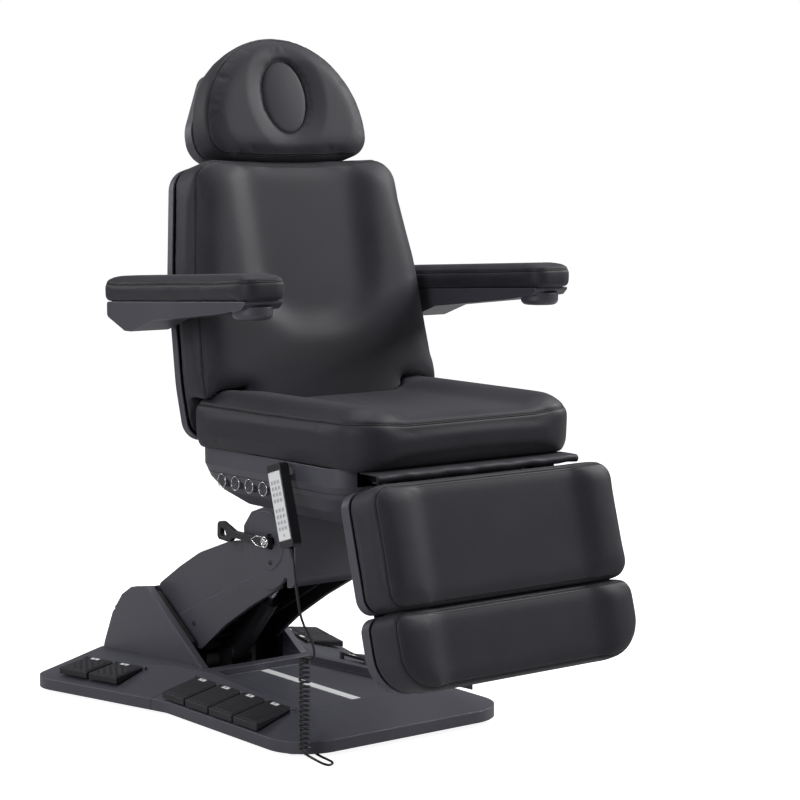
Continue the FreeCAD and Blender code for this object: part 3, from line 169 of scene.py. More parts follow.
def new_material(name, roughness, metallic=0.0):
    material = bpy.data.materials.new(name)
    material.use_nodes = True
    shader = material.node_tree.nodes["Principled BSDF"]
    shader.inputs["Roughness"].default_value = roughness
    shader.inputs["Metallic"].default_value = metallic
    return material, material.node_tree, shader


def colour_between(tree, factor, dark, light):
    mix = tree.nodes.new("ShaderNodeMix")
    mix.data_type = "RGBA"
    mix.inputs["A"].default_value = (*dark, 1.0)
    mix.inputs["B"].default_value = (*light, 1.0)
    tree.links.new(factor, mix.inputs["Factor"])
    return mix.outputs["Result"]


def range_of(tree, value, low, high, out_low, out_high):
    node = tree.nodes.new("ShaderNodeMapRange")
    tree.links.new(value, node.inputs["Value"])
    for label, number in (("From Min", low), ("From Max", high), ("To Min", out_low), ("To Max", out_high)):
        node.inputs[label].default_value = number
    return node.outputs["Result"]


def bump(tree, height, strength, distance, normal=None):
    node = tree.nodes.new("ShaderNodeBump")
    node.inputs["Strength"].default_value = strength
    node.inputs["Distance"].default_value = distance
    tree.links.new(height, node.inputs["Height"])
    if normal:
        tree.links.new(normal, node.inputs["Normal"])
    return node.outputs["Normal"]


def mixed(tree, factor, first, second):
    """Colour socket that goes from a first colour socket to a fixed second colour."""
    mix = tree.nodes.new("ShaderNodeMix")
    mix.data_type = "RGBA"
    tree.links.new(factor, mix.inputs["Factor"])
    tree.links.new(first, mix.inputs["A"])
    mix.inputs["B"].default_value = (*second, 1.0)
    return mix.outputs["Result"]


def grained(name, group, dark, light, rough, strength, distance, highlight_colour=None):
    """Material whose tone, gloss and bump come from a grain group, with its edges rounded and painted lighter as a
    highlight.
    """
    material, tree, shader = new_material(name, sum(rough) / 2)
    grain = tree.nodes.new("ShaderNodeGroup")
    grain.node_tree = group
    tone = range_of(tree, grain.outputs["Tone"], 0.3, 0.7, 0.0, 1.0)
    colour = colour_between(tree, tone, dark, light)
    normal = None
    if highlight_colour:
        edges = tree.nodes.new("ShaderNodeGroup")
        edges.node_tree = edge_highlight_tree
        # Painted highlight: the colour is lightened near sharp edges.
        colour = mixed(tree, edges.outputs["Edge"], colour, highlight_colour)
        normal = edges.outputs["Normal"]
    tree.links.new(colour, shader.inputs["Base Color"])
    tree.links.new(range_of(tree, grain.outputs["Tone"], 0.3, 0.7, *rough), shader.inputs["Roughness"])
    tree.links.new(bump(tree, grain.outputs["Height"], strength, distance, normal), shader.inputs["Normal"])
    return material


def grey(level, blue=1.28):
    """Dark grey with a slight blue cast."""
    return (level, level, level * blue)


def upholstery_material():
    """Charcoal coated fabric, darker and duller in the seams, where shade is painted into their grooves."""
    material = grained("upholstery", leather_grain, grey(0.020), grey(0.030), (0.5, 0.62), 0.28, 0.0004)
    tree = material.node_tree
    shader = tree.nodes["Principled BSDF"]
    shader.inputs["Specular IOR Level"].default_value = 0.24
    shader.inputs["Sheen Weight"].default_value = 0.04
    shader.inputs["Sheen Roughness"].default_value = 0.4
    # Painted shade: along the seams' grooves the colour goes nearly black.
    seam = tree.nodes.new("ShaderNodeAttribute")
    seam.attribute_name = "seam"
    plain = shader.inputs["Base Color"].links[0].from_socket
    tree.links.new(mixed(tree, seam.outputs["Fac"], plain, grey(0.003)), shader.inputs["Base Color"])
    return material


def chrome_material():
    material, tree, shader = new_material("chrome", 0.12, 1.0)
    shader.inputs["Base Color"].default_value = (0.78, 0.79, 0.8, 1.0)
    grain = tree.nodes.new("ShaderNodeGroup")
    grain.node_tree = moulded_grain
    tree.links.new(range_of(tree, grain.outputs["Tone"], 0.3, 0.7, 0.08, 0.2), shader.inputs["Roughness"])
    return material


# Lighter colours painted along sharp edges as highlights, for light parts and for dark parts.
SHELL_EDGE_HIGHLIGHT = grey(0.15)
DARK_EDGE_HIGHLIGHT = grey(0.05)


def moulded(name, tones, rough, strength, distance, highlight_colour=None):
    """Moulded plastic, rubber or coated metal between a dark and a light tone."""
    dark, light = [tone if isinstance(tone, tuple) else grey(tone) for tone in tones]
    return grained(name, moulded_grain, dark, light, rough, strength, distance, highlight_colour)


WHITE_TONES = ((0.72, 0.73, 0.74), (0.8, 0.81, 0.82))
SILVER_TONES = ((0.5, 0.51, 0.53), (0.58, 0.59, 0.61))

paint = {
    "upholstery": upholstery_material(),
    "shell_plastic": moulded("shell_plastic", (0.046, 0.058), (0.42, 0.5), 0.1, 0.0002, SHELL_EDGE_HIGHLIGHT),
    "base_plastic": moulded("base_plastic", (0.052, 0.066), (0.42, 0.52), 0.14, 0.0002, SHELL_EDGE_HIGHLIGHT),
    "black_plastic": moulded("black_plastic", (0.008, 0.012), (0.38, 0.48), 0.1, 0.0002, DARK_EDGE_HIGHLIGHT),
    "button_plastic": moulded("button_plastic", (0.03, 0.045), (0.2, 0.28), 0.02, 0.0001, SHELL_EDGE_HIGHLIGHT),
    "pedal_rubber": moulded("pedal_rubber", (0.008, 0.014), (0.5, 0.62), 0.2, 0.0003, DARK_EDGE_HIGHLIGHT),
    "foot_rubber": moulded("foot_rubber", (0.008, 0.012), (0.7, 0.85), 0.2, 0.0003),
    "frame_steel": moulded("frame_steel", (0.003, 0.005), (0.5, 0.6), 0.16, 0.0002),
    "handset_plastic": moulded("handset_plastic", (0.010, 0.016), (0.35, 0.45), 0.08, 0.0002, DARK_EDGE_HIGHLIGHT),
    "cord_rubber": moulded("cord_rubber", (0.006, 0.010), (0.35, 0.45), 0.08, 0.0001),
    "chrome": chrome_material(),
    "white_print": moulded("white_print", WHITE_TONES, (0.4, 0.5), 0.05, 0.0001),
    "label_silver": moulded("label_silver", SILVER_TONES, (0.3, 0.4), 0.04, 0.0001),
    "key_grey": moulded("key_grey", (0.2, 0.26), (0.4, 0.5), 0.05, 0.0001),
    "thread": moulded("thread", (0.02, 0.03), (0.6, 0.75), 0.3, 0.0002),
    "seam_line": moulded("seam_line", (0.0025, 0.004), (0.6, 0.7), 0.1, 0.0001),
    "joint_line": moulded("joint_line", (0.004, 0.006), (0.6, 0.7), 0.05, 0.0001),
}

slot_of = {entry["node"]: entry["material_slot"] for entry in frame["record"]["subparts"]}
for name, node in nodes.items():
    node.data.materials.clear()
    node.data.materials.append(paint[slot_of[name]])

# Making pieces


def finished(name, bm, body, finish, smooth=True):
    """Turns a bmesh into a piece that rides on a body."""
    bmesh.ops.remove_doubles(bm, verts=bm.verts, dist=1e-6)
    bmesh.ops.recalc_face_normals(bm, faces=bm.faces)
    mesh = bpy.data.meshes.new(name)
    bm.to_mesh(mesh)
    bm.free()
    return piece_of(name, mesh, body, finish, smooth)


def piece_of(name, mesh, body, finish, smooth=True):
    mesh.materials.clear()
    mesh.materials.append(paint[finish])
    for polygon in mesh.polygons:
        polygon.use_smooth = smooth
    piece = bpy.data.objects.new(name, mesh)
    scene.collection.objects.link(piece)
    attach(piece, body)
    return piece


def add_block(bm, low, high, matrix=Matrix.Identity(4), soften=0.0):
    """Block between two corners, with softened edges."""
    low, high = Vector(low), Vector(high)
    middle = (low + high) / 2
    size = high - low
    place = matrix @ Matrix.Translation(middle) @ Matrix.Diagonal((*size, 1.0))
    made = bmesh.ops.create_cube(bm, size=1.0, matrix=place)
    if soften:
        edges = list({edge for vert in made["verts"] for edge in vert.link_edges})
        bmesh.ops.bevel(bm, geom=edges, offset=soften, segments=2, profile=0.5, affect="EDGES", material=-1)


def surface_of(obj):
    bm = bmesh.new()
    bm.from_mesh(obj.data)
    tree = BVHTree.FromBMesh(bm)
    bm.free()
    return tree


def leaning(lean, y, z):
    """Place of a piece drawn flat and stood up against a lean: its y runs up, its z forwards."""
    return Matrix.Translation((0.0, y, z)) @ Matrix.Rotation(math.radians(90.0 - lean), 4, "X")


def outline(half, height, matrix):
    """Points of a rounded outline: corners of its +X half with radii, in millimetres, mirrored for the rest."""
    corners = half + [(-x, y, r) for x, y, r in reversed(half)]
    bm = bmesh.new()
    made = [bm.verts.new((x * MM, y * MM, height * MM)) for x, y, r in corners]
    bm.faces.new(made)
    for i, (vert, corner) in enumerate(zip(made, corners)):
        before = Vector(corners[i - 1][:2]) - Vector(corner[:2])
        after = Vector(corners[(i + 1) % len(corners)][:2]) - Vector(corner[:2])
        reach = corner[2] * MM / math.tan(before.angle(after) / 2)
        bmesh.ops.bevel(bm, geom=[vert], offset=reach, segments=12, profile=0.5, affect="VERTICES",
                        material=-1)
    bm.faces.ensure_lookup_table()
    points = [matrix @ vert.co for vert in bm.faces[0].verts]
    bm.free()
    return points


def spaced(points, step, closed=True):
    """Points at even steps along a line."""
    line = points + points[:1] if closed else points
    result = []
    left = 0.0
    for start, end in zip(line, line[1:]):
        length = (end - start).length
        at = left
        while at < length:
            result.append(start.lerp(end, at / length))
            at += step
        left = at - length
    return result


def evened(points, rounds=3):
    """A closed line of points with its small kinks smoothed out."""
    for _ in range(rounds):
        count = len(points)
        points = [(points[i - 1] + 2 * points[i] + points[(i + 1) % count]) / 4 for i in range(count)]
    return points


def drawn_line(name, routes, radius, body, finish, closed=True):
    """Fine round lines along routes, as one piece."""
    curve = bpy.data.curves.new(name, "CURVE")
    curve.dimensions = "3D"
    curve.bevel_depth = radius
    curve.bevel_resolution = 1
    for route in routes:
        spline = curve.splines.new("POLY")
        spline.points.add(len(route) - 1)
        for point, spot in zip(spline.points, route):
            point.co = (*spot, 1.0)
        spline.use_cyclic_u = closed
    drawn = bpy.data.objects.new(name + "_route", curve)
    scene.collection.objects.link(drawn)
    mesh = bpy.data.meshes.new_from_object(drawn.evaluated_get(bpy.context.evaluated_depsgraph_get()))
    bpy.data.objects.remove(drawn)
    bpy.data.curves.remove(curve)
    return piece_of(name, mesh, body, finish)


def upon(spot, normal, along):
    """Place on a surface: its z is the surface's normal and its x runs along a direction."""
    along = (along - normal * along.dot(normal)).normalized()
    return Matrix.Translation(spot) @ Matrix((along, normal.cross(along), normal)).transposed().to_4x4()


def add_ring(bm, middle, axis, radius, thick):
    """Round ring about an axis."""
    place = Matrix.Translation(middle) @ axis.to_track_quat("Z", "Y").to_matrix().to_4x4()
    stand = Matrix.Translation((radius, 0.0, 0.0)) @ Matrix.Rotation(math.pi / 2, 4, "X")
    section = bmesh.ops.create_circle(bm, segments=10, radius=thick, matrix=place @ stand)
    edges = list({edge for vert in section["verts"] for edge in vert.link_edges})
    bmesh.ops.spin(bm, geom=section["verts"] + edges, cent=middle, axis=axis, angle=2 * math.pi, steps=40,
                   use_merge=True)


def add_screw(bm, spot, normal, radius):
    """Domed screw head with a sunk socket."""
    place = Matrix.Translation(spot) @ normal.to_track_quat("Z", "Y").to_matrix().to_4x4()
    made = bmesh.ops.create_cone(bm, cap_ends=True, segments=24, radius1=radius, radius2=0.78 * radius,
                                 depth=0.7 * radius, matrix=place)
    faces = {face for vert in made["verts"] for face in vert.link_faces}
    top = max(faces, key=lambda face: face.calc_center_median().dot(normal))
    bmesh.ops.inset_individual(bm, faces=[top], thickness=0.36 * radius)
    bmesh.ops.translate(bm, verts=top.verts, vec=-normal * 0.3 * radius)


def patch_of(bm, node, place, low, high, lift):
    """Adds a copy of a CAD node's skin inside a box, lifted off it a little, for joint lines and bezels."""
    skin = bmesh.new()
    skin.from_mesh(nodes[node].data)
    skin.normal_update()
    for axis in range(3):
        for value, sign in ((low[axis], -1.0), (high[axis], 1.0)):
            normal = place.to_3x3().col[axis] * sign
            spot = Vector((0.0, 0.0, 0.0))
            spot[axis] = value
            geometry = list(skin.verts) + list(skin.edges) + list(skin.faces)
            bmesh.ops.bisect_plane(skin, geom=geometry, plane_co=place @ spot, plane_no=normal,
                                   clear_outer=True)
    skin.normal_update()
    mesh = bpy.data.meshes.new("patch")
    shifts = [vert.normal * lift for vert in skin.verts]
    for vert, shift in zip(skin.verts, shifts):
        vert.co += shift
    skin.to_mesh(mesh)
    skin.free()
    bm.from_mesh(mesh)
    bpy.data.meshes.remove(mesh)


# Cords

CORD = 5.0 * MM
drop_route = [(-305.0, -347.72, 444.92), (-305.0, -355.67, 418.07), (-304.0, -364.0, 356.0),
              (-298.0, -370.0, 300.0), (-272.0, -374.0, 254.0), (-256.6, -359.69, 217.85),
              (-256.6, -336.0, 214.0)]
tail_route = [(-275.4, -336.1, 26.78), (-275.4, -369.56, 21.35), (-254.0, -396.0, 5.5), (-226.0, -384.0, 5.5),
              (-222.0, -330.0, 5.5), (-208.0, -276.0, 5.5), (-172.0, -276.0, 5.5)]
CURL_MIDDLE = (-266.0, -336.0)
CURL_RADIUS = 9.4
CURL_TOP = 214.0
CURL_PITCH = 9.6
CURL_TURNS = 19.5
POINTS_A_TURN = 12


def curl_points():
    """Control points of the curls, set out a little so that the spline runs on the curl's radius."""
    steps = int(CURL_TURNS * POINTS_A_TURN)
    reach = CURL_RADIUS / math.cos(math.pi / POINTS_A_TURN) ** 2
    points = []
    for i in range(1, steps):
        angle = 2 * math.pi * i / POINTS_A_TURN
        points.append((CURL_MIDDLE[0] + reach * math.cos(angle), CURL_MIDDLE[1] + reach * math.sin(angle),
                       CURL_TOP - CURL_PITCH * i / POINTS_A_TURN))
    return points


def handset_cord():
    """One cord from the handset, down through its curls and under the base."""
    route = drop_route + curl_points() + tail_route
    curve = bpy.data.curves.new("handset_cord", "CURVE")
    curve.dimensions = "3D"
    spline = curve.splines.new("NURBS")
    spline.points.add(len(route) - 1)
    for point, spot in zip(spline.points, route):
        point.co = (spot[0] * MM, spot[1] * MM, spot[2] * MM, 1.0)
    spline.order_u = 3
    spline.use_endpoint_u = True
    spline.resolution_u = 4
    curve.bevel_depth = CORD / 2
    curve.bevel_resolution = 3
    curve.use_fill_caps = True
    curve.materials.append(paint["cord_rubber"])
    cord = bpy.data.objects.new("handset_cord", curve)
    scene.collection.objects.link(cord)
    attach(cord, "handset")
    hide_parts("cord_drop", "cord_curl", "cord_tail")


handset_cord()

# Cushions


def merged_copy(node):
    bm = bmesh.new()
    bm.from_mesh(nodes[node].data)
    bmesh.ops.remove_doubles(bm, verts=bm.verts, dist=1e-5)
    mesh = bpy.data.meshes.new(node + "_foam")
    bm.to_mesh(mesh)
    bm.free()
    return mesh


def settled(obj):
    """The object's mesh with its modifiers applied."""
    depsgraph = bpy.context.evaluated_depsgraph_get()
    mesh = bpy.data.meshes.new_from_object(obj.evaluated_get(depsgraph))
    obj.modifiers.clear()
    old = obj.data
    obj.data = mesh
    bpy.data.meshes.remove(old)


def softened(obj, rounds, choose=None):
    """Smooths a mesh, or only the vertices that a test chooses."""
    bm = bmesh.new()
    bm.from_mesh(obj.data)
    verts = [vert for vert in bm.verts if choose is None or choose(vert)]
    for _ in range(rounds):
        bmesh.ops.smooth_vert(bm, verts=verts, factor=0.5, use_axis_x=True, use_axis_y=True, use_axis_z=True)
    bm.to_mesh(obj.data)
    bm.free()


def inflated(obj, pressure, cap, frames):
    """Lets the cover swell under the foam's pressure, each point by no more than the cap."""
    before = [vert.co.copy() for vert in obj.data.vertices]
    cloth = obj.modifiers.new("Cloth", "CLOTH")
    cloth.settings.use_pressure = True
    cloth.settings.uniform_pressure_force = pressure
    cloth.settings.effector_weights.gravity = 0.0
    cloth.settings.quality = 4
    cloth.point_cache.frame_end = frames
    for number in range(1, frames + 1):
        scene.frame_set(number)
    settled(obj)
    scene.frame_set(1)
    for vert, old in zip(obj.data.vertices, before):
        move = vert.co - old
        if move.length > cap:
            vert.co = old + move * (cap / move.length)


def tree_of(points):
    """Tree that finds the nearest of some points."""
    tree = KDTree(len(points))
    for i, point in enumerate(points):
        tree.insert(point, i)
    tree.balance()
    return tree


def grooved(obj, points, depth, reach):
    """Draws the cover in along its seam, and marks how near each point lies to it; the mark paints shade into the
    groove.
    """
    tree = tree_of(points)
    # The mark is painted shade: it darkens the cover near the seam.
    mark = obj.data.attributes.new("seam", "FLOAT", "POINT")
    moves = []
    for vert in obj.data.vertices:
        distance = tree.find(vert.co)[2]
        near = max(0.0, 1.0 - (distance / reach) ** 2) ** 2
        moves.append(vert.normal * (-depth * near))
        mark.data[vert.index].value = max(0.0, 1.0 - distance / (0.8 * reach))
    for vert, move in zip(obj.data.vertices, moves):
        vert.co += move


def eased(obj, seam, side, rounds):
    """Smooths the face of a cover inside its seam, so that hollows in it run out softly."""
    tree = tree_of(seam)
    softened(obj, rounds, lambda vert: vert.normal.dot(side) > 0.5 and tree.find(vert.co)[2] > EASED_EDGE)


def on_surface(tree, points):
    return [tree.find_nearest(point)[0] for point in points]


def beside(tree, line, side, offset):
    """A line on a surface at an offset from another one, on the side named by a direction."""
    result = []
    for i, point in enumerate(line):
        ahead = (line[(i + 1) % len(line)] - line[i - 1]).normalized()
        spot, normal = tree.find_nearest(point)[:2]
        across = normal.cross(ahead).normalized()
        if across.dot(side) < 0:
            across = -across
        result.append(tree.find_nearest(spot + across * offset)[0])
    return evened(result)


def stitches(name, tree, line, body):
    """A row of stitches along a line on a surface."""
    bm = bmesh.new()
    row = spaced(line, STITCH_STEP)
    for i, point in enumerate(row):
        ahead = row[(i + 1) % len(row)] - row[i - 1]
        spot, normal = tree.find_nearest(point)[:2]
        size = Matrix.Diagonal((2.0 * MM, 0.5 * MM, 0.5 * MM, 1.0))
        bmesh.ops.create_icosphere(bm, subdivisions=1, radius=1.0, matrix=upon(spot, normal, ahead) @ size)
    finished(name, bm, body, "thread")


STITCH_STEP = 5.5 * MM
STITCH_OFFSET = 6.0 * MM
SEAM_DEPTH = 1.8 * MM
SEAM_REACH = 4.5 * MM
SEAM_BEAD = 1.4 * MM
CREASE_BEAD = 0.5 * MM
EASED_EDGE = 16.0 * MM
REAR_EDGE = 14.0 * MM
FOAM_PRESSURE = 4.0
SETTLE_FRAMES = 12
SOFT_ROUNDS = 6


def foam(node, body, voxel, rounds, out):
    """Even mesh over a soft CAD node, with its edges softened, but hardly so beside its shell at the rear."""
    obj = piece_of(node + "_cover", merged_copy(node), body, "upholstery")
    remesh = obj.modifiers.new("Remesh", "REMESH")
    remesh.mode = "VOXEL"
    remesh.voxel_size = voxel
    settled(obj)
    softened(obj, 1)
    rear = min(vert.co.dot(out) for vert in obj.data.vertices) + REAR_EDGE
    softened(obj, rounds, lambda vert: vert.co.dot(out) > rear)
    return obj


def subdivided(obj):
    subdivide = obj.modifiers.new("Subdivision", "SUBSURF")
    subdivide.levels = 1
    subdivide.render_levels = 1
    settled(obj)


def upholstered(obj, node):
    for polygon in obj.data.polygons:
        polygon.use_smooth = True
    obj.data.materials.clear()
    obj.data.materials.append(paint["upholstery"])
    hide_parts(node)


def cushion(node, body, seam, side, out, voxel, cap, ease, extra=None):
    """Padded piece over a CAD cushion: remeshed, softened, inflated, sewn and stitched."""
    obj = foam(node, body, voxel, SOFT_ROUNDS, out)
    inflated(obj, FOAM_PRESSURE, cap, SETTLE_FRAMES)
    softened(obj, 1)
    eased(obj, spaced(seam, 8.0 * MM), side, ease)
    if extra:
        extra(obj)
    subdivided(obj)
    sewn = evened(on_surface(surface_of(obj), spaced(seam, 3.0 * MM)))
    grooved(obj, spaced(sewn, 1.5 * MM), SEAM_DEPTH, SEAM_REACH)
    tree = surface_of(obj)
    drawn_line(node + "_seam", [on_surface(tree, sewn)], SEAM_BEAD, body, "seam_line")
    # Painted shade: a near-black line drawn along the crease beside the seam.
    crease = beside(tree, sewn, side, STITCH_OFFSET)
    drawn_line(node + "_crease", [crease], CREASE_BEAD, body, "seam_line")
    stitches(node + "_stitches", tree, crease, body)
    upholstered(obj, node)
    return obj


upright = Vector((0.0, 0.0, 1.0))
forward = Vector((0.0, -1.0, 0.0))
back_place = leaning(12.0, 0.045, 0.592)
rest_place = leaning(14.0, 0.168, 1.203)
leg_place = leaning(15.5, -0.530, 0.590)

seat_half = [(287.0, -543.0, 75.0), (307.0, 20.0, 32.0)]
back_half = [(304.0, 20.0, 45.0), (309.0, 140.0, 400.0), (297.0, 370.0, 400.0), (259.0, 606.0, 58.0),
             (40.0, 597.0, 300.0)]
rest_half = [(70.0, -21.0, 250.0), (210.0, -13.0, 50.0), (210.0, 250.0, 209.0)]
leg_half = [(306.0, -254.0, 36.0), (306.0, -14.0, 36.0)]
foot_half = [(306.0, -410.5, 80.0), (306.0, -255.5, 30.0)]
arm_half = [(54.0, -540.0, 30.0), (54.0, 0.0, 26.0)]
SEAT_SEAM = 697.0
BACK_SEAM = 113.0
REST_SEAM = 96.0
LEG_SEAM = 77.0
ARM_SEAM = 38.0


def out_of(place):
    """Direction in which the face of a leaning piece looks."""
    return place.to_3x3().col[2].normalized()


def seat_seam():
    """The seat's top seam: lower across the dished middle of the front edge."""
    points = []
    for point in spaced(outline(seat_half, SEAT_SEAM, Matrix.Identity(4)), 4.0 * MM):
        rise = min(1.0, max(0.0, (abs(point.x) - 0.165) / 0.06))
        points.append(point + upright * (8.0 * MM * rise))
    return points


# Headrest's dish: the plug's oval lies in the middle of it

PLUG_MIDDLE = 114.0 * MM
PLUG_HALF = (58.0 * MM, 83.0 * MM)
REST_FACE = 105.0 * MM
DISH_HALF = (106.0 * MM, 126.0 * MM)
DISH_DEPTH = 15.0 * MM
PLUG_SINK = 7.0 * MM
PLUG_DOME = 4.0 * MM
rest_out = out_of(rest_place)
rest_up = rest_place.to_3x3().col[1].normalized()
dish_middle = rest_place @ Vector((0.0, PLUG_MIDDLE, REST_FACE))


def spread_in(offset, half):
    """How far out a point lies in an oval on the headrest's face: 0 in the middle, 1 on the oval."""
    return math.hypot(offset.x / half[0], offset.dot(rest_up) / half[1])


def dished(obj):
    """Presses a round dish into the headrest, about its oval plug."""
    for vert in obj.data.vertices:
        offset = vert.co - dish_middle
        if offset.dot(rest_out) > -0.03:
            depth = max(0.0, 1.0 - spread_in(offset, DISH_HALF) ** 2) ** 1.5
            vert.co -= rest_out * (DISH_DEPTH * depth)


def plug():
    """The headrest's oval plug, sunk into the dish with a slightly domed face."""
    obj = foam("headrest_plug", "plug", 3.0 * MM, 5, rest_out)
    for vert in obj.data.vertices:
        offset = vert.co - dish_middle
        if offset.dot(rest_out) > -0.03:
            dome = PLUG_DOME * max(0.0, 1.0 - spread_in(offset, PLUG_HALF) ** 2)
            vert.co += rest_out * (dome - PLUG_SINK)
    subdivided(obj)
    obj.data.attributes.new("seam", "FLOAT", "POINT")
    upholstered(obj, "headrest_plug")


def plug_piping(tree):
    """Piping round the plug's hole, on the dish."""
    route = []
    for i in range(120):
        angle = 2 * math.pi * i / 120
        spot = Vector(((PLUG_HALF[0] + 2.0 * MM) * math.cos(angle),
                       PLUG_MIDDLE + (PLUG_HALF[1] + 2.0 * MM) * math.sin(angle), REST_FACE - 10.0 * MM))
        route.append(tree.find_nearest(rest_place @ spot)[0])
    drawn_line("plug_piping", [evened(route)], 2.2 * MM, "headrest", "seam_line")


cushion("seat_cushion", "seat", seat_seam(), upright, upright, 5.5 * MM, 3.0 * MM, 16)
cushion("back_cushion", "back", outline(back_half, BACK_SEAM, back_place), forward, out_of(back_place),
        5.5 * MM, 4.0 * MM, 40)
rest = cushion("headrest_cushion", "headrest", outline(rest_half, REST_SEAM, rest_place), forward, rest_out,
               4.5 * MM, 4.0 * MM, 0, dished)
plug()
plug_piping(surface_of(rest))
for node, body, half in (("leg_cushion", "leg_rest", leg_half), ("foot_cushion", "foot_pad", foot_half)):
    seam = outline(half, LEG_SEAM, leg_place)
    cushion(node, body, seam, forward, out_of(leg_place), 5.5 * MM, 2.0 * MM, 16)

ARM_RISE = 2.8
ARM_REAR = (0.169, 0.908)
ARM_MIDDLE = 0.371
arm_place = Matrix.Translation((0.0, *ARM_REAR)) @ Matrix.Rotation(math.radians(-ARM_RISE), 4, "X")
for side_name, sign in (("left", 1.0), ("right", -1.0)):
    across = Matrix.Translation((sign * ARM_MIDDLE, 0.0, 0.0))
    seam = outline(arm_half, ARM_SEAM, across @ arm_place)
    cushion("armrest_pad_" + side_name, "armrest_" + side_name, seam, upright, upright, 4.5 * MM, 3.0 * MM, 4)

# Flap over the leg hinge

FLAP_HALF = 258.0 * MM
FLAP_Y = -558.0 * MM
FLAP_MIDDLE_Z = 599.0 * MM
FLAP_RADIUS = 8.0 * MM
FLAP_TAIL = 48.0 * MM
FLAP_LIP = 8.0 * MM
FLAP_THICK = 2.0 * MM
FLAP_COLUMNS = 86


def flap_profile():
    """The flap's side view: its tail under the seat, the roll at the front and the free lip."""
    points = []
    for i in range(13):
        points.append((FLAP_Y + FLAP_TAIL * (1 - i / 12), FLAP_MIDDLE_Z + FLAP_RADIUS))
    for i in range(1, 13):
        angle = math.pi * i / 12
        points.append((FLAP_Y - FLAP_RADIUS * math.sin(angle), FLAP_MIDDLE_Z + FLAP_RADIUS * math.cos(angle)))
    for i in range(1, 4):
        points.append((FLAP_Y + FLAP_LIP * i / 3, FLAP_MIDDLE_Z - FLAP_RADIUS))
    return points


def flap():
    """Sheet of cover fabric, held under the seat, rolled over at the front and slightly rippled there."""
    profile = flap_profile()
    bm = bmesh.new()
    row = [bm.verts.new((-FLAP_HALF, y, z)) for y, z in profile]
    edges = [bm.edges.new(pair) for pair in zip(row, row[1:])]
    step = Vector((2 * FLAP_HALF / FLAP_COLUMNS, 0.0, 0.0))
    for _ in range(FLAP_COLUMNS):
        made = bmesh.ops.extrude_edge_only(bm, edges=edges)["geom"]
        verts = [item for item in made if isinstance(item, bmesh.types.BMVert)]
        bmesh.ops.translate(bm, verts=verts, vec=step)
        edges = [item for item in made if isinstance(item, bmesh.types.BMEdge)]
    for vert in bm.verts:
        free = max(0.0, min(1.0, (FLAP_Y + 0.5 * FLAP_TAIL - vert.co.y) / (0.5 * FLAP_TAIL)))
        ripple = math.sin(vert.co.x * 61.0) + 0.6 * math.sin(vert.co.x * 137.0 + 1.3)
        vert.co.z += 0.7 * MM * free * ripple
        vert.co.y -= 0.6 * MM * free * math.sin(vert.co.x * 97.0)
    bmesh.ops.recalc_face_normals(bm, faces=bm.faces)
    bmesh.ops.solidify(bm, geom=list(bm.verts) + list(bm.edges) + list(bm.faces), thickness=FLAP_THICK)
    obj = finished("seat_flap_sheet", bm, "seat", "upholstery")
    obj.data.attributes.new("seam", "FLOAT", "POINT")
    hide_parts("seat_flap")
    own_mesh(obj)


flap()

# Pedals: pads on all, studs on the rear ones, white marks at their inner ends

PAD_NEAR = 12.0 * MM
PAD_FAR = 84.0 * MM
PAD_HALF = 38.0 * MM
STUD_STEP = 9.5 * MM
STUD_HALF = 4.2 * MM
MARK_SIZE = (24.0 * MM, 9.0 * MM)


def pedal_top(tree, joint, out, along):
    """Place on a pedal's top at a distance out from its pivot and along it."""
    axis = Vector(joint["axis"]).normalized()
    outward = Vector((axis.y, -axis.x, 0.0))
    spot = Vector(joint["pos_m"]) + outward * out + axis * along + upright * 0.1
    spot, normal = tree.ray_cast(spot, -upright)[:2]
    return upon(spot, normal, axis)


def pedal_trim(joint):
    body = joint["child"]
    tree = surface_of(nodes[body])
    middle = (PAD_NEAR + PAD_FAR) / 2
    reach = (PAD_FAR - PAD_NEAR) / 2
    bm = bmesh.new()
    place = pedal_top(tree, joint, middle, 0.0)
    add_block(bm, (-PAD_HALF, -reach, -1.0 * MM), (PAD_HALF, reach, 1.6 * MM), place, 1.2 * MM)
    if body[-1] in "56":
        for i in range(7):
            for k in range(7):
                if (i + k) % 2 == 0:
                    x, y = (i - 3) * STUD_STEP, (k - 3) * STUD_STEP
                    add_block(bm, (x - STUD_HALF, y - STUD_HALF, 1.0 * MM),
                              (x + STUD_HALF, y + STUD_HALF, 2.8 * MM), place, 0.6 * MM)
    finished(body + "_pad", bm, body, "pedal_rubber", smooth=False)
    rearward = 12.0 * MM if joint["axis"][1] > 0 else -12.0 * MM
    place = pedal_top(tree, joint, 3.5 * MM, rearward)
    length, width = MARK_SIZE
    bm = bmesh.new()
    add_block(bm, (-length / 2, -width / 2, -0.3 * MM), (length / 2, width / 2, 0.5 * MM), place, 0.3 * MM)
    finished(body + "_mark", bm, body, "white_print", smooth=False)
    bm = bmesh.new()
    glyph = place @ Matrix.Translation((0.0, 0.0, 0.6 * MM)) @ Matrix.Rotation(math.pi / 2, 4, "Z")
    bmesh.ops.create_cone(bm, cap_ends=True, segments=3, radius1=3.0 * MM, radius2=2.8 * MM, depth=0.4 * MM,
                          matrix=glyph)
    finished(body + "_arrow", bm, body, "joint_line", smooth=False)


joints = {joint["name"]: joint for joint in frame["joints"]}
for name, joint in joints.items():
    if name.startswith("press_"):
        pedal_trim(joint)

# Base: joint line at the waist, white strip in the recess, pins in the mains inlet

WAIST_JOINT_Y = 0.195
STRIP_HALF = 11.0 * MM


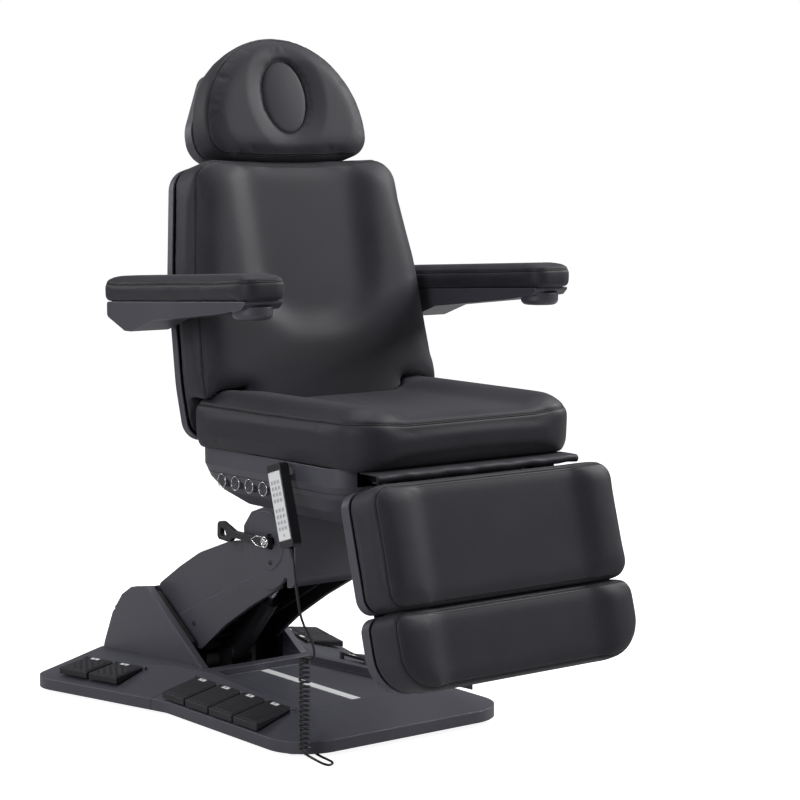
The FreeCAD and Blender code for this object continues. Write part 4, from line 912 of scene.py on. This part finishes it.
def base_trim():
    bm = bmesh.new()
    for sign in (-1.0, 1.0):
        low = (min(sign * 0.2, sign * 0.5), WAIST_JOINT_Y - 0.7 * MM, 0.0)
        high = (max(sign * 0.2, sign * 0.5), WAIST_JOINT_Y + 0.7 * MM, 0.09)
        patch_of(bm, "base_cover", Matrix.Identity(4), low, high, 0.25 * MM)
    finished("base_joint", bm, "base", "joint_line", smooth=False)
    bm = bmesh.new()
    floor = surface_of(nodes["base_cover"]).ray_cast(Vector((0.0, -0.1, 0.2)), -upright)[0].z
    add_block(bm, (-STRIP_HALF, -0.165, floor - 0.5 * MM), (STRIP_HALF, 0.19, floor + 1.2 * MM),
              soften=0.8 * MM)
    finished("recess_strip", bm, "base", "white_print", smooth=False)
    low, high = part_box("mains_inlet")
    middle = (low + high) / 2
    bm = bmesh.new()
    for x, z in ((-7.0 * MM, -2.0 * MM), (7.0 * MM, -2.0 * MM), (0.0, 3.0 * MM)):
        spot = Vector((middle.x + x, high.y - 8.0 * MM, middle.z + z))
        low_corner = spot - Vector((1.0 * MM, 6.0 * MM, 2.4 * MM))
        high_corner = spot + Vector((1.0 * MM, 5.0 * MM, 2.4 * MM))
        add_block(bm, low_corner, high_corner, soften=0.5 * MM)
    finished("inlet_pins", bm, "base", "chrome", smooth=False)


base_trim()

# Seat's side: rings round the buttons

RING_RADIUS = 14.0 * MM
RING_THICK = 0.8 * MM
tree = surface_of(nodes["seat_shell"])
bm = bmesh.new()
for number in range(1, 5):
    low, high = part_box("side_button_%d" % number)
    middle = (low + high) / 2
    rim = tree.ray_cast(Vector((-0.4, middle.y, high.z + 3.0 * MM)), Vector((1.0, 0.0, 0.0)))[0]
    spot = Vector((rim.x - 0.3 * MM, middle.y, middle.z))
    add_ring(bm, spot, Vector((1.0, 0.0, 0.0)), RING_RADIUS, RING_THICK)
finished("button_rings", bm, "seat", "chrome")

# Handset: label, keys and the cord's sleeve

HANDSET_FACE = -316.0 * MM
HANDSET_LEAN = -16.5
handset_place = Matrix.Translation((0.0, -0.3, 0.606)) @ Matrix.Rotation(math.radians(HANDSET_LEAN), 4, "X")


def handset_plate(name, half, top, low, lift, finish):
    bm = bmesh.new()
    face = HANDSET_FACE
    add_block(bm, (face - lift, -half, low), (face + 0.4 * MM, half, top), handset_place, 0.35 * MM)
    finished(name, bm, "handset", finish, smooth=False)


def handset_keys():
    bm = bmesh.new()
    marks = bmesh.new()
    face = HANDSET_FACE - 1.0 * MM
    for first in (-37.0, -93.0):
        for row in range(4):
            for column in (-11.0, 0.0, 11.0):
                y, z = column * MM, (first - 12.0 * row) * MM
                add_block(bm, (face - 0.7 * MM, y - 4.0 * MM, z - 4.0 * MM),
                          (face + 0.3 * MM, y + 4.0 * MM, z + 4.0 * MM), handset_place, 0.6 * MM)
                turn = Matrix.Rotation(-math.pi / 2, 4, "Y") @ Matrix.Rotation(math.pi * (row % 2), 4, "Z")
                spot = Matrix.Translation((face - 0.8 * MM, y, z))
                bmesh.ops.create_cone(marks, cap_ends=True, segments=3, radius1=2.3 * MM, radius2=2.2 * MM,
                                      depth=0.3 * MM, matrix=handset_place @ spot @ turn)
    add_block(bm, (face - 0.5 * MM, -3.5 * MM, -145.0 * MM), (face + 0.3 * MM, 3.5 * MM, -140.0 * MM),
              handset_place, 0.5 * MM)
    finished("handset_keys", bm, "handset", "label_silver", smooth=False)
    finished("handset_key_marks", marks, "handset", "key_grey", smooth=False)


def cord_sleeve():
    """Tapered, ringed sleeve where the cord leaves the handset."""
    bm = bmesh.new()
    way = Vector((0.0, math.sin(math.radians(HANDSET_LEAN)), -math.cos(math.radians(HANDSET_LEAN))))
    start = Vector([value * MM for value in drop_route[0]])
    length = 22.0 * MM
    turn = way.to_track_quat("Z", "Y").to_matrix().to_4x4()
    place = Matrix.Translation(start + way * (length / 2 - 1.0 * MM)) @ turn
    bmesh.ops.create_cone(bm, cap_ends=True, segments=20, radius1=5.2 * MM, radius2=2.9 * MM, depth=length,
                          matrix=place)
    for i in range(4):
        add_ring(bm, start + way * (3.0 + 5.0 * i) * MM, way, (5.0 - 0.55 * i) * MM, 0.7 * MM)
    finished("cord_sleeve", bm, "handset", "cord_rubber")


handset_plate("handset_border", 21.0 * MM, -15.0 * MM, -153.0 * MM, 0.5 * MM, "chrome")
handset_plate("handset_label", 19.6 * MM, -16.5 * MM, -151.5 * MM, 1.0 * MM, "white_print")
handset_keys()
cord_sleeve()

# Lever: chrome ring on its hub and a pointed clevis

LEVER_FACE = -132.0 * MM
lever_middle = Vector(joints["lever_turn"]["pos_m"])
lever_middle.x = LEVER_FACE
bm = bmesh.new()
add_ring(bm, lever_middle, Vector((1.0, 0.0, 0.0)), 11.0 * MM, 1.8 * MM)
add_screw(bm, lever_middle, Vector((-1.0, 0.0, 0.0)), 7.0 * MM)
finished("lever_ring", bm, "lever", "chrome")
clevis = [(4.0, 11.0), (30.0, 10.0), (50.0, 0.0), (30.0, -10.0), (4.0, -11.0)]
route = [lever_middle + Vector((-0.5 * MM, y * MM, z * MM)) for y, z in clevis]
drawn_line("lever_clevis", [route], 1.7 * MM, "lever", "chrome")

# Screws, found on the surfaces that they hold

screw_places = [
    ("arm", ["arm_top_cover", "arm_side_covers"], [(0.458, 0.215), (0.319, 0.158)], 6.5 * MM),
    ("head", ["head_cover"], [(-0.003, 0.344)], 6.0 * MM),
]


def side_screws():
    for body, names, places, radius in screw_places:
        trees = [surface_of(nodes[name]) for name in names]
        bm = bmesh.new()
        for sign in (-1.0, 1.0):
            for y, z in places:
                start = Vector((sign * 0.4, y, z))
                hits = [tree.ray_cast(start, Vector((-sign, 0.0, 0.0))) for tree in trees]
                hits = [hit for hit in hits if hit[0]]
                spot, normal = min(hits, key=lambda hit: hit[3])[:2]
                add_screw(bm, spot, normal, radius)
        finished(body + "_screws", bm, body, "black_plastic")


side_screws()


def rear_screws(node, body, places, radius):
    """Screws in the rear face of a shell, at (x, z) places."""
    tree = surface_of(nodes[node])
    bm = bmesh.new()
    for x, z in places:
        for sign in (-1.0, 1.0):
            spot, normal = tree.ray_cast(Vector((sign * x, 1.2, z)), Vector((0.0, -1.0, 0.0)))[:2]
            if spot:
                add_screw(bm, spot, normal, radius)
    finished(node + "_screws", bm, body, "black_plastic")


rear_screws("back_shell", "back", [(0.235, 0.70), (0.24, 0.86), (0.215, 1.05)], 5.0 * MM)
rear_screws("headrest_shell", "headrest", [(0.12, 1.30)], 4.5 * MM)
rear_screws("pylon_cover", "base", [(0.10, 0.115)], 5.0 * MM)

# Joint line of the seat shell

bm = bmesh.new()
patch_of(bm, "seat_shell", Matrix.Identity(4), (-0.4, -0.6, 0.5565), (0.4, 0.2, 0.5576), 0.25 * MM)
finished("seat_shell_joint", bm, "seat", "joint_line", smooth=False)

# Floor, light and backdrop

FLOOR_GLOW = 0.93
WORLD_FILL = 0.18


def stage_and_light():
    bm = bmesh.new()
    bmesh.ops.create_grid(bm, x_segments=1, y_segments=1, size=30.0)
    mesh = bpy.data.meshes.new("floor")
    bm.to_mesh(mesh)
    bm.free()
    floor = bpy.data.objects.new("floor", mesh)
    scene.collection.objects.link(floor)
    material, tree, shader = new_material("floor", 0.6)
    shader.inputs["Base Color"].default_value = (0.55, 0.55, 0.55, 1.0)
    shader.inputs["Emission Color"].default_value = (1.0, 1.0, 1.0, 1.0)
    ray = tree.nodes.new("ShaderNodeLightPath")
    glow = maths(tree, "MULTIPLY", ray.outputs["Is Camera Ray"], FLOOR_GLOW)
    tree.links.new(glow, shader.inputs["Emission Strength"])
    mesh.materials.append(material)
    world = bpy.data.worlds.new("studio")
    world.use_nodes = True
    scene.world = world
    tree = world.node_tree
    back = tree.nodes["Background"]
    ray = tree.nodes.new("ShaderNodeLightPath")
    seen = maths(tree, "MAXIMUM", ray.outputs["Is Camera Ray"], ray.outputs["Is Transmission Ray"])
    strength = maths(tree, "ADD", maths(tree, "MULTIPLY", seen, 1.0 - WORLD_FILL), WORLD_FILL)
    tree.links.new(strength, back.inputs["Strength"])
    back.inputs["Color"].default_value = (1.0, 1.0, 1.0, 1.0)
    lamps = [("key", (3.4, -1.2, 2.9), 1.8, 170.0), ("side", (-3.6, -1.4, 1.9), 1.6, 62.0),
             ("top", (0.2, 0.2, 4.2), 2.4, 78.0), ("rear", (-2.4, 3.2, 2.4), 1.6, 45.0)]
    for name, spot, size, power in lamps:
        lamp = bpy.data.lights.new(name, "AREA")
        lamp.size = size
        lamp.energy = power
        obj = bpy.data.objects.new(name, lamp)
        obj.location = spot
        obj.rotation_euler = (Vector((0.0, 0.0, 0.7)) - Vector(spot)).to_track_quat("-Z", "Y").to_euler()
        scene.collection.objects.link(obj)


stage_and_light()
